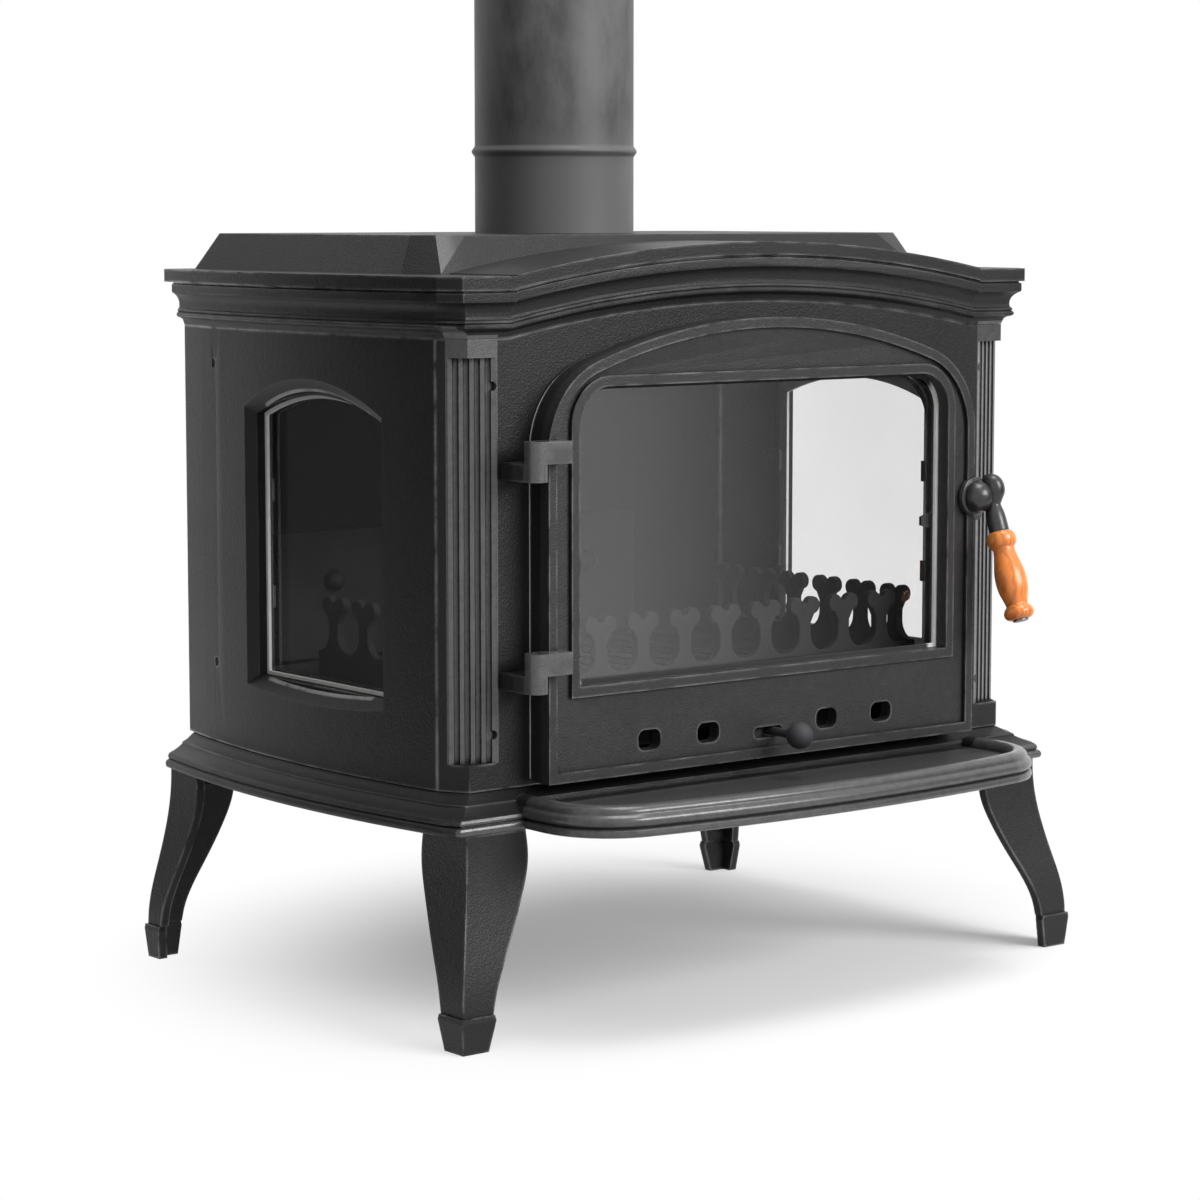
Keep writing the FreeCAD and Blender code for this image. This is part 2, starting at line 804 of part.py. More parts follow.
def catch_spot():
    """Where the catch stud stands on the front casting, in (x, z)."""
    turn = -math.radians(v.catch_angle)
    return vec(v.handle_side, SPINDLE_LEVEL) + polar(v.catch_reach, turn)


def front_frame():
    body = new_body("front_frame")
    foot = "leg_height + base_height"
    joint, arris = plan_corners(0)
    near, far = flute_ends()
    inner = -v.body_front + v.front_wall
    root = vec(near.x - v.front_wall / 2, inner)
    lap = vec(v.joint_half - v.side_wall, -v.joint_front)
    half = [joint, arris]
    other_half = [mirrored(point) for point in (arris, joint, lap, root)]
    pad(body, "XY_Plane", ring([lap] + half + other_half + [root]), "body_height + arch_rise", foot)
    top = BODY_TOP - v.seam
    wide = v.joint_half + v.overrun
    high = BODY_TOP + v.arch_rise + v.overrun
    spring = vec(v.arch_half, top)
    above = [Part.Arc(mirrored(spring), vec(0, top + v.arch_rise), spring)]
    points = [spring, vec(wide, top), vec(wide, high), vec(-wide, high), vec(-wide, top), mirrored(spring)]
    above += [Part.LineSegment(start, end) for start, end in zip(points, points[1:])]
    through = "body_front + overrun"
    pocket(body, "XZ_Plane", above, through, through)
    pocket(body, "XZ_Plane", basket_arch(v.door_lap, v.sill_lap), "front_wall + 2 * overrun", through)
    outside = vec(v.joint_half, -v.body_front - v.overrun)
    flutes = "body_height - flute_stop_low - flute_stop_high"
    flute_top = foot + " + body_height - flute_stop_high"
    chamfers = [near, vec(near.x, outside.y), outside, vec(outside.x, far.y), far]
    pocket(body, "XY_Plane", ring(chamfers) + ring([mirrored(point) for point in chamfers]), flutes, flute_top)
    spots = [near + (far - near) * share for share in FLUTE_SHARES]
    grooves = [circle(spot.x, spot.y, v.flute_radius) for spot in spots + [mirrored(spot) for spot in spots]]
    pocket(body, "XY_Plane", grooves, flutes, flute_top)
    levels = (BODY_FOOT + v.flute_stop_low + v.flute_screw_inset,
              BODY_TOP - v.flute_stop_high - v.flute_screw_inset)
    seats = [circle(side * (near.x + v.flute_screw_radius), level, v.flute_screw_radius)
             for level in levels for side in (-1, 1)]
    pocket(body, "XZ_Plane", seats, "overrun + front_wall / 2", through)
    for lug in ("upper_lug", "lower_lug"):
        pad(body, "XY_Plane", lug_outline(inner - v.front_wall / 2), "frame_lug_height",
            f"{foot} + {lug} - frame_lug_height")
    pocket(body, "XY_Plane", [circle(-v.hinge_half, -v.hinge_front, v.pin_radius + v.running)],
           "body_height", foot + " + body_height")
    catch = catch_spot()
    pocket(body, "XZ_Plane", [circle(catch.x, catch.y, v.catch_stud_radius + v.seam)],
           "front_wall + 2 * overrun", through)


# Side castings: the window looks straight out of the bow at its own middle
WINDOW_OUT = side_at(0, v.side_window_middle)
WINDOW_TURN = math.degrees(math.asin((v.side_window_middle - BOW.y) / v.bow_radius))
SEAT = WINDOW_OUT - v.seat_depth


def squared(shape):
    """Turns what was drawn along x so that it looks straight out of the bow."""
    shape.rotate(vec(WINDOW_OUT, v.side_window_middle), UP, WINDOW_TURN)
    return shape


def side_window(offset, x):
    """Arched window outline on a plane of constant x, moved outwards by offset."""
    radius = (v.side_window_half ** 2 + v.side_window_rise ** 2) / (2 * v.side_window_rise)
    centre = BODY_FOOT + v.side_window_spring + v.side_window_rise - radius
    half = v.side_window_half + offset
    middle = v.side_window_middle
    sill = BODY_FOOT + v.side_window_sill - offset
    reach = radius + offset
    spring = centre + math.sqrt(reach ** 2 - half ** 2)
    a, b = vec(x, middle - half, sill), vec(x, middle + half, sill)
    c, d = vec(x, middle + half, spring), vec(x, middle - half, spring)
    return wire([Part.LineSegment(a, b), Part.LineSegment(b, c),
                 Part.Arc(c, vec(x, middle, centre + reach), d), Part.LineSegment(d, a)])


def side_slab(outer, inner, x, thick):
    """Flat plate of the window's shape, thick along x, with an opening when inner is given."""
    slab = Part.Face(side_window(outer, x)).extrude(vec(thick, 0, 0))
    if inner is None:
        return slab
    return slab.cut(Part.Face(side_window(inner, x - thick)).extrude(vec(3 * thick, 0, 0)))


def side_clip_spots():
    """Middle of each side glass clip's foot, and its direction towards the glass."""
    half = v.side_window_half + v.glass_lap + v.clip_width / 4 + v.seam
    heights = (v.side_window_sill * 2, v.side_window_spring - v.side_window_sill)
    for height in heights:
        for side in (-1, 1):
            yield vec(0, v.side_window_middle + side * half, BODY_FOOT + height), -side


def side_shell():
    """The right side casting."""
    outer = [vec(side_at(0, y), y) for y in (-v.joint_front, v.side_window_middle, v.body_back)]
    inner = [vec(side_at(-v.side_wall, y), y) for y in (v.body_back, v.side_window_middle, -v.joint_front)]
    edges = [Part.Arc(*outer), Part.LineSegment(outer[2], inner[0]), Part.Arc(*inner),
             Part.LineSegment(inner[2], outer[0])]
    outline = wire(edges)
    outline.translate(vec(0, 0, BODY_FOOT))
    shell = prism(outline, v.body_height)
    throat = WINDOW_OUT - v.bevel_depth
    seat = squared(Part.Face(side_window(v.seat_margin, SEAT)).extrude(vec(throat - SEAT, 0, 0)))
    deeper = v.bevel_width * (v.bevel_depth + v.overrun) / v.bevel_depth
    rims = [side_window(0, throat), side_window(deeper, WINDOW_OUT + v.overrun)]
    bevel = squared(Part.makeLoft(rims, True, True))
    through = vec(throat - SEAT + 2 * v.overrun, 0, 0)
    hole = squared(Part.Face(side_window(0, SEAT - v.overrun)).extrude(through))
    sinks = [rod(spot - RIGHT * v.panel_screw_depth, RIGHT, v.panel_screw_depth + v.overrun,
                 v.panel_screw_radius + v.seam) for spot in panel_screw_spots()]
    sinks += [squared(rod(spot + RIGHT * SEAT, RIGHT, v.clip_screw_grip, v.clip_screw_radius + v.seam))
              for spot, _ in side_clip_spots()]
    return shell.fuse(seat).cut([bevel, hole] + sinks)


def panel_screw_spots():
    x = side_at(0, v.panel_screw_back)
    for height in (v.panel_screw_low, v.body_height - v.panel_screw_high):
        yield vec(x, v.panel_screw_back, BODY_FOOT + height)


def side_pieces():
    """Both side castings with their glazing: the left ones are the right ones mirrored."""
    glass_face = SEAT - v.gasket_thick
    clip_face = glass_face - v.glass_thick
    right = {"side_panel": side_shell(),
             "side_gasket": squared(side_slab(v.glass_lap, -v.gasket_proud, glass_face, v.gasket_thick)),
             "side_glass": squared(side_slab(v.glass_lap, None, clip_face, v.glass_thick))}
    for name, shape in right.items():
        shaped(name + "_right", shape)
        shaped(name + "_left", shape.mirror(vec(0, 0, 0), RIGHT))
    clips = []
    screws = []
    depth = v.gasket_thick + v.glass_thick
    for spot, toward in side_clip_spots():
        quarter = v.clip_width / 4
        low, high = sorted((spot.y - toward * quarter, spot.y + toward * (quarter + v.glass_lap)))
        z0, z1 = spot.z - v.clip_width / 2, spot.z + v.clip_width / 2
        strap = box(clip_face - v.clip_thick, clip_face, low, high, z0, z1)
        heel = box(clip_face, SEAT, spot.y - quarter, spot.y + quarter, z0, z1)
        shank = rod(spot + RIGHT * (clip_face - v.clip_thick), RIGHT,
                    v.clip_thick + depth + v.clip_screw_grip - v.seam, v.clip_screw_radius)
        bore = rod(spot + RIGHT * (clip_face - v.clip_thick - v.overrun), RIGHT,
                   v.clip_thick + depth + 2 * v.overrun, v.clip_screw_radius + v.seam)
        head = rod(spot + RIGHT * (clip_face - 2 * v.clip_thick), RIGHT, v.clip_thick, v.clip_head_radius)
        clips.append(squared(strap.fuse(heel).cut(bore)))
        screws.append(squared(head.fuse(shank)))
    plugs = [rod(spot - RIGHT * v.panel_screw_depth, RIGHT, v.panel_screw_depth * 0.8, v.panel_screw_radius)
             for spot in panel_screw_spots()]
    for name, shapes in (("side_glass_clips", clips), ("side_clip_screws", screws), ("panel_screws", plugs)):
        group(name, shapes + [shape.mirror(vec(0, 0, 0), RIGHT) for shape in shapes])


# Back casting
def back_panel():
    body = new_body("back_panel")
    half = side_at(-v.side_wall, v.body_back) - v.seam
    pad(body, "XZ_Plane", rectangle(-half, half, BODY_FOOT, PLATE_FOOT), "back_wall", "-body_back")
    pad(body, "XZ_Plane", rectangle(-half, half, PLATE_FOOT - v.flange_thick, PLATE_FOOT),
        "plate_back - body_back", "-plate_back")
    spots = [circle(side * v.liner_bolt_side, GRATE_TOP + v.liner_bolt_rise, v.liner_bolt_radius + v.seam)
             for side in (-1, 1)]
    pocket(body, "XZ_Plane", spots, "back_wall + 2 * overrun", "-body_back + back_wall + overrun")


# Cornice and top
def arch_sweep(points):
    """Turns an outline of (y, height above the arch) points about the front arch's own axis."""
    corners = [vec(0, y, BODY_TOP + v.arch_rise + up) for y, up in points]
    face = Part.Face(Part.makePolygon(corners + corners[:1]))
    half_turn = math.degrees(math.asin(v.arch_half / ARCH_RADIUS)) + v.arch_rise / v.arch_half
    axis = vec(0, 1, 0)
    centre = vec(0, 0, ARCH_CENTRE)
    face.rotate(centre, axis, -half_turn)
    swept = face.revolve(centre, axis, 2 * half_turn)
    return swept.common(box(-v.arch_half, v.arch_half, -v.body_back, v.body_back,
                            BODY_FOOT, CROWN_TOP + v.overrun))


def cornice():
    frame = moulding(CORNICE_PROFILE_SHARES, v.cornice_reach, BODY_TOP, v.cornice_height, v.body_back)
    inside = prism(plan(-v.side_wall, v.body_back + v.overrun, BODY_TOP - v.overrun),
                   v.cornice_height + 2 * v.overrun)
    inner = -v.body_front + v.side_wall
    middle = box(-v.arch_half, v.arch_half, -v.body_front - v.cornice_reach - v.overrun, inner,
                 BODY_TOP - v.overrun, PLATE_FOOT + v.overrun)
    profile = [(-v.body_front - out * v.cornice_reach, up * v.cornice_height)
               for out, up in CORNICE_PROFILE_SHARES]
    arched = arch_sweep(profile + [(inner, v.cornice_height), (inner, 0)])
    return shaped("cornice", frame.cut([inside, middle]).fuse(arched).removeSplitter())


def crossing(first, second):
    """Point where two plan lines meet, each given as a normal's angle and its distance from the origin."""
    (a, p), (b, q) = first, second
    scale = math.sin(b - a)
    return vec((p * math.sin(b) - q * math.sin(a)) / scale, (q * math.cos(a) - p * math.cos(b)) / scale)


def sloped_block(sides, foot, top):
    """Closed block with flat sloping sides: each side has a normal's angle and its distance at foot and top."""
    count = len(sides)
    low = [crossing((sides[i][0], sides[i][1]), (sides[(i + 1) % count][0], sides[(i + 1) % count][1]))
           for i in range(count)]
    high = [crossing((sides[i][0], sides[i][2]), (sides[(i + 1) % count][0], sides[(i + 1) % count][2]))
            for i in range(count)]
    low = [vec(point.x, point.y, foot) for point in low]
    high = [vec(point.x, point.y, top) for point in high]
    rings = [low, high] + [[low[i - 1], low[i], high[i], high[i - 1]] for i in range(count)]
    faces = []
    for points in rings:
        kept = [point for i, point in enumerate(points) if (point - points[i - 1]).Length > v.running]
        faces.append(Part.Face(Part.makePolygon(kept + kept[:1])))
    block = Part.makeSolid(Part.makeShell(faces))
    if block.Volume < 0:
        block.reverse()
    return block


def crown_sides(inset, share, facets):
    """Sides of the raised top, counterclockwise: distances at its foot, less inset, and up its rise."""
    corner = vec(v.crown_half - v.crown_corner_across, -v.crown_front)
    slant = -math.atan2(v.crown_corner_across, v.crown_corner_along)
    facet = -math.radians(CROWN_FACET_TURN)
    shoulder = vec(v.crown_half, v.crown_corner_along - v.crown_front)
    rear = vec(v.crown_rear_half, v.crown_back)
    flank = math.atan2(shoulder.x - rear.x, rear.y - shoulder.y)
    right = [(flank, shoulder.dot(polar(1, flank)), v.crown_side_slope),
             (slant, corner.dot(polar(1, slant)), v.crown_corner_slope)]
    if facets:
        right.append((facet, corner.dot(polar(1, facet)), v.crown_facet_slope))
    left = [(-math.pi - turn, reach, slope) for turn, reach, slope in right]
    front = (-math.pi / 2, v.crown_front, v.crown_front_slope)
    back = (-3 * math.pi / 2, v.crown_back, v.crown_back_slope)
    sides = right + [front] + left[::-1] + [back]
    return [(turn, reach - inset, reach - inset - slope * share) for turn, reach, slope in sides][::-1]


def top_plate():
    over_body = plan(v.plate_reach, v.plate_back, PLATE_FOOT)
    plate = prism(over_body, v.plate_thick)
    edge = -v.body_front - v.plate_reach
    inner = -v.body_front + v.side_wall
    web = inner + v.seam + v.crest_web
    strip = box(-v.arch_half, v.arch_half, edge - v.overrun, inner + v.seam, PLATE_FOOT - v.overrun,
                PLATE_TOP + v.overrun)
    behind = -v.crown_front + v.crown_front_slope
    low = v.cornice_height + v.seam
    high = v.cornice_height + v.plate_thick
    crest = arch_sweep([(edge, low), (behind, low), (behind, high), (edge, high)])
    deep = -v.arch_rise
    above_plate = box(-v.arch_half, v.arch_half, edge, -edge, PLATE_FOOT, CROWN_TOP)
    upright = arch_sweep([(inner + v.seam, deep), (web, deep), (web, high), (inner + v.seam, high)])
    upright = upright.common(above_plate)
    vault = arch_sweep([(web, deep - v.overrun), (behind, deep - v.overrun), (behind, low), (web, low)])
    crown = sloped_block(crown_sides(0, 1, True), PLATE_TOP, CROWN_TOP)
    share = 1 - v.roof_thick / v.crown_height
    hollow = sloped_block(crown_sides(v.crown_wall, share, False), PLATE_TOP, CROWN_TOP - v.roof_thick)
    throat = sloped_block(crown_sides(v.crown_wall, 0, False), PLATE_FOOT - v.overrun, PLATE_TOP)
    flue = rod(vec(0, v.flue_back, PLATE_FOOT), UP, v.plate_thick + v.crown_height + v.overrun,
               SPIGOT_RADIUS + v.seam)
    sinks = [rod(spot + UP * PLATE_FOOT - UP * v.overrun, UP, v.overrun + v.plate_thick / 2 + v.seam,
                 v.rod_radius + v.seam) for spot in rod_spots()]
    sinks += [rod(spot + UP * COLLAR_FOOT, UP, v.collar_thick + v.roof_thick * 0.8,
                  v.collar_bolt_radius + v.seam) for spot in collar_bolt_spots()]
    shape = plate.cut(strip).fuse([crest, upright, crown]).removeSplitter()
    return shaped("top_plate", shape.cut([vault, hollow, throat, flue] + sinks))


# Flue
SPIGOT_RADIUS = v.pipe_radius - v.pipe_wall - v.seam
COLLAR_FOOT = CROWN_TOP - v.roof_thick - v.collar_thick


def collar_bolt_spots():
    for quarter in range(4):
        yield vec(0, v.flue_back) + polar(v.collar_bolt_ring, math.pi / 4 + math.pi / 2 * quarter)


def flue():
    collar = new_body("flue_collar")
    bore = SPIGOT_RADIUS - v.spigot_wall
    ledge = COLLAR_FOOT + v.collar_thick
    turned(collar, [(bore, COLLAR_FOOT), (v.collar_radius, COLLAR_FOOT), (v.collar_radius, ledge),
                    (SPIGOT_RADIUS, ledge), (SPIGOT_RADIUS, CROWN_TOP + v.spigot_rise),
                    (bore, CROWN_TOP + v.spigot_rise)])
    spots = [circle(spot.x, spot.y - v.flue_back, v.collar_bolt_radius + v.seam)
             for spot in collar_bolt_spots()]
    pocket(collar, "XY_Plane", spots, "collar_thick + 2 * overrun",
           "leg_height + base_height + body_height + cornice_height + plate_thick + crown_height")
    place(collar, ("0", "flue_back", "0"))
    pipe = new_body("flue_pipe")
    outer = v.pipe_radius
    inner = outer - v.pipe_wall
    bead = CROWN_TOP + v.bead_rise
    slope = v.bead_proud
    turned(pipe, [(inner, CROWN_TOP), (outer, CROWN_TOP), (outer, bead), (outer + v.bead_proud, bead + slope),
                  (outer + v.bead_proud, bead + v.bead_height - slope), (outer, bead + v.bead_height),
                  (outer, CROWN_TOP + v.pipe_length), (inner, CROWN_TOP + v.pipe_length)])
    place(pipe, ("0", "flue_back", "0"))
    bolts = []
    for spot in collar_bolt_spots():
        head = hexagon(spot + UP * (COLLAR_FOOT - v.bolt_head_height), v.bolt_head_radius, v.bolt_head_height)
        shank = rod(spot + UP * COLLAR_FOOT, UP, v.collar_thick + v.roof_thick / 2, v.collar_bolt_radius)
        bolts.append(head.fuse(shank))
    group("collar_bolts", bolts)


# Door and what it carries
def window_outline(offset):
    """Door window outline in (x, z) moved outwards by offset: square foot, round top corners."""
    half = v.window_half + offset
    sill = BODY_FOOT + v.window_sill - offset
    radius = v.window_corner + offset
    corner = vec(v.window_half - v.window_corner, BODY_FOOT + v.window_top - v.window_corner)
    top = corner.y + radius
    return [Part.LineSegment(vec(-half, sill), vec(half, sill)),
            Part.LineSegment(vec(half, sill), vec(half, corner.y)),
            arc_about(corner, radius, 0, math.pi / 2),
            Part.LineSegment(vec(corner.x, top), vec(-corner.x, top)),
            arc_about(mirrored(corner), radius, math.pi / 2, math.pi),
            Part.LineSegment(vec(-half, corner.y), vec(-half, sill))]


def air_holes():
    edges = []
    for half in (v.air_hole_inner, v.air_hole_outer):
        for side in (-1, 1):
            edges += rounded(side * half, BODY_FOOT + v.air_hole_height, v.air_hole_width, v.air_hole_tall,
                             v.air_hole_corner)
    return edges


def door_clip_spots():
    """Middle of each door glass clip's foot in (x, z), and its direction towards the glass."""
    half = v.window_half + v.glass_lap + v.clip_width / 4 + v.seam
    for side in (-1, 1):
        yield vec(side * half, BODY_FOOT + v.clip_height), -side


def door():
    body = new_body("door")
    back = "body_front + door_gap"
    face = back + " + door_thick"
    seat = face + " - door_plate"
    foot = "leg_height + base_height"
    pad(body, "XZ_Plane", basket_arch(0), "door_thick", back)
    pad(body, "XZ_Plane", basket_arch(0) + basket_arch(v.rim_width), "rim_proud", face)
    pad(body, "XZ_Plane", window_outline(v.window_bead) + window_outline(0), "window_bead_proud", face)
    pocket(body, "XZ_Plane", basket_arch(v.door_wall), "door_thick - door_plate", back, True)
    pad(body, "XZ_Plane", [circle(v.handle_side, SPINDLE_LEVEL, v.hub_radius)],
        "door_thick + rim_proud - boss_back", back + " + boss_back")
    for lug in ("upper_lug", "lower_lug"):
        pad(body, "XY_Plane", door_lug_outline(), "door_lug_height", f"{foot} + {lug}")
    pocket(body, "XZ_Plane", [circle(v.handle_side, SPINDLE_LEVEL, v.tongue_room)], "boss_back", back, True)
    front = face + " + rim_proud + overrun"
    deep = "door_thick + rim_proud + 2 * overrun"
    pocket(body, "XZ_Plane", window_outline(0), deep, front)
    slot = rounded(0, BODY_FOOT + v.slot_height, v.slot_length, v.slot_tall, v.slot_tall / 2)
    pocket(body, "XZ_Plane", air_holes() + slot, "door_plate + 2 * overrun", front)
    pocket(body, "XZ_Plane", [circle(v.handle_side, SPINDLE_LEVEL, v.spindle_radius + v.running)], deep, front)
    pocket(body, "XY_Plane", [circle(-v.hinge_half, -v.hinge_front, v.pin_radius + v.running)],
           "body_height", foot + " + body_height")
    taps = [circle(spot.x, spot.y, v.clip_screw_radius + v.seam) for spot, _ in door_clip_spots()]
    pocket(body, "XZ_Plane", taps, "clip_screw_grip", seat, True)


def door_glazing():
    seat = "body_front + door_gap + door_thick - door_plate"
    gasket = new_body("door_glass_gasket")
    pad(gasket, "XZ_Plane", window_outline(v.glass_lap) + window_outline(-v.gasket_proud),
        "gasket_thick", seat, True)
    glass = new_body("door_glass")
    pad(glass, "XZ_Plane", window_outline(v.glass_lap), "glass_thick", seat + " - gasket_thick", True)
    rope = new_body("door_rope_seal")
    pad(rope, "XZ_Plane", basket_arch(v.rope_inset) + basket_arch(v.rope_inset + v.rope_width), "door_gap",
        "body_front")
    clips = []
    screws = []
    behind = -DOOR_SEAT + v.gasket_thick + v.glass_thick
    for spot, toward in door_clip_spots():
        quarter = v.clip_width / 4
        heel_end = spot.x - toward * quarter
        tip = spot.x + toward * (quarter + v.glass_lap + v.clip_reach)
        root = spot.x + toward * quarter
        half = v.clip_width / 2
        tip_half = half * CLIP_TIP_SHARE
        outline = [vec(heel_end, behind, spot.y - half), vec(root, behind, spot.y - half),
                   vec(tip, behind, spot.y - tip_half), vec(tip, behind, spot.y + tip_half),
                   vec(root, behind, spot.y + half), vec(heel_end, behind, spot.y + half)]
        strap = Part.Face(Part.makePolygon(outline + outline[:1])).extrude(vec(0, v.clip_thick, 0))
        low, high = sorted((heel_end, root))
        heel = box(low, high, -DOOR_SEAT, behind, spot.y - half, spot.y + half)
        middle = vec(spot.x, behind + v.clip_thick, spot.y)
        length = v.clip_thick + v.gasket_thick + v.glass_thick
        shank = rod(middle, FORWARD, length + v.clip_screw_grip - v.seam, v.clip_screw_radius)
        bore = rod(middle - FORWARD * v.overrun, FORWARD, length + 2 * v.overrun, v.clip_screw_radius + v.seam)
        head = rod(middle - FORWARD * (v.clip_thick / 2), FORWARD, v.clip_thick / 2, v.clip_head_radius)
        clips.append(strap.fuse(heel).cut(bore))
        screws.append(head.fuse(shank))
    group("door_glass_clips", clips)
    group("door_clip_screws", screws)


def hinge_pins():
    pins = []
    for lug in (v.upper_lug, v.lower_lug):
        foot = BODY_FOOT + lug - v.frame_lug_height
        length = v.frame_lug_height + v.door_lug_height - v.pin_clear
        pins.append(rod(vec(-v.hinge_half, -v.hinge_front, foot), UP, length, v.pin_radius))
    group("hinge_pins", pins)


def catch():
    spot = catch_spot()
    front = vec(spot.x, -v.body_front, spot.y)
    reach = v.door_gap + v.boss_back + v.seam + v.catch_head_thick
    stem = rod(front - FORWARD * (v.front_wall + v.catch_nut_thick), FORWARD,
               v.front_wall + v.catch_nut_thick + reach - v.catch_head_thick, v.catch_stud_radius)
    collar = rod(front, FORWARD, v.door_gap / 2, v.catch_nut_radius)
    head = rod(front + FORWARD * (reach - v.catch_head_thick), FORWARD, v.catch_head_thick, v.catch_head_radius)
    shaped("catch_stud", stem.fuse([collar, head]))
    back = front - FORWARD * (v.front_wall + v.catch_nut_thick)
    nut = rod(back, FORWARD, v.catch_nut_thick, v.catch_nut_radius)
    bore = rod(back - FORWARD * v.overrun, FORWARD, v.catch_nut_thick + 2 * v.overrun,
               v.catch_stud_radius + v.seam)
    shaped("catch_nut", nut.cut(bore))


# Air control
def air_control():
    seat = "body_front + door_gap + door_thick - door_plate"
    level = BODY_FOOT + v.air_hole_height
    shutter = new_body("air_shutter")
    low, high = level - v.shutter_tall / 2, level + v.shutter_tall / 2
    pad(shutter, "XZ_Plane", rectangle(-v.shutter_half, v.shutter_half, low, high),
        "shutter_thick", seat + " - seam", True)
    pocket(shutter, "XZ_Plane", air_holes(), "shutter_thick + 2 * overrun", seat + " + overrun")
    guides = []
    rear = -DOOR_SEAT + v.shutter_thick + 2 * v.seam
    for edge, out in ((low, -1), (high, 1)):
        z0, z1 = sorted((edge + out * v.seam, edge + out * (v.seam + v.guide_tall)))
        rail = box(-v.shutter_half, v.shutter_half, -DOOR_SEAT, rear, z0, z1)
        z0, z1 = sorted((edge - out * v.guide_lip, edge + out * (v.seam + v.guide_tall)))
        lip = box(-v.shutter_half, v.shutter_half, rear, rear + v.guide_lip, z0, z1)
        guides.append(rail.fuse(lip))
    group("shutter_guides", guides)
    at = ("knob_rest", "-(body_front + door_gap + door_thick - door_plate) + seam",
          "leg_height + base_height + slot_height")
    stem = solid("Cylinder", "air_knob_stem", {"Radius": "stem_radius", "Height": "stem_length"}, at, RIGHT, 90)
    node(stem, "air_knob_stem")
    flat = math.sqrt(v.knob_radius ** 2 - (v.stem_radius * 1.5) ** 2)
    knob_y = -DOOR_SEAT + v.seam - v.stem_length - flat
    centre = vec(v.knob_rest, knob_y, BODY_FOOT + v.slot_height)
    ball = Part.makeSphere(v.knob_radius, centre)
    far = v.knob_radius * 2
    shaved = box(centre.x - far, centre.x + far, knob_y + flat, knob_y + far, centre.z - far, centre.z + far)
    shaped("air_knob", ball.cut(shaved))


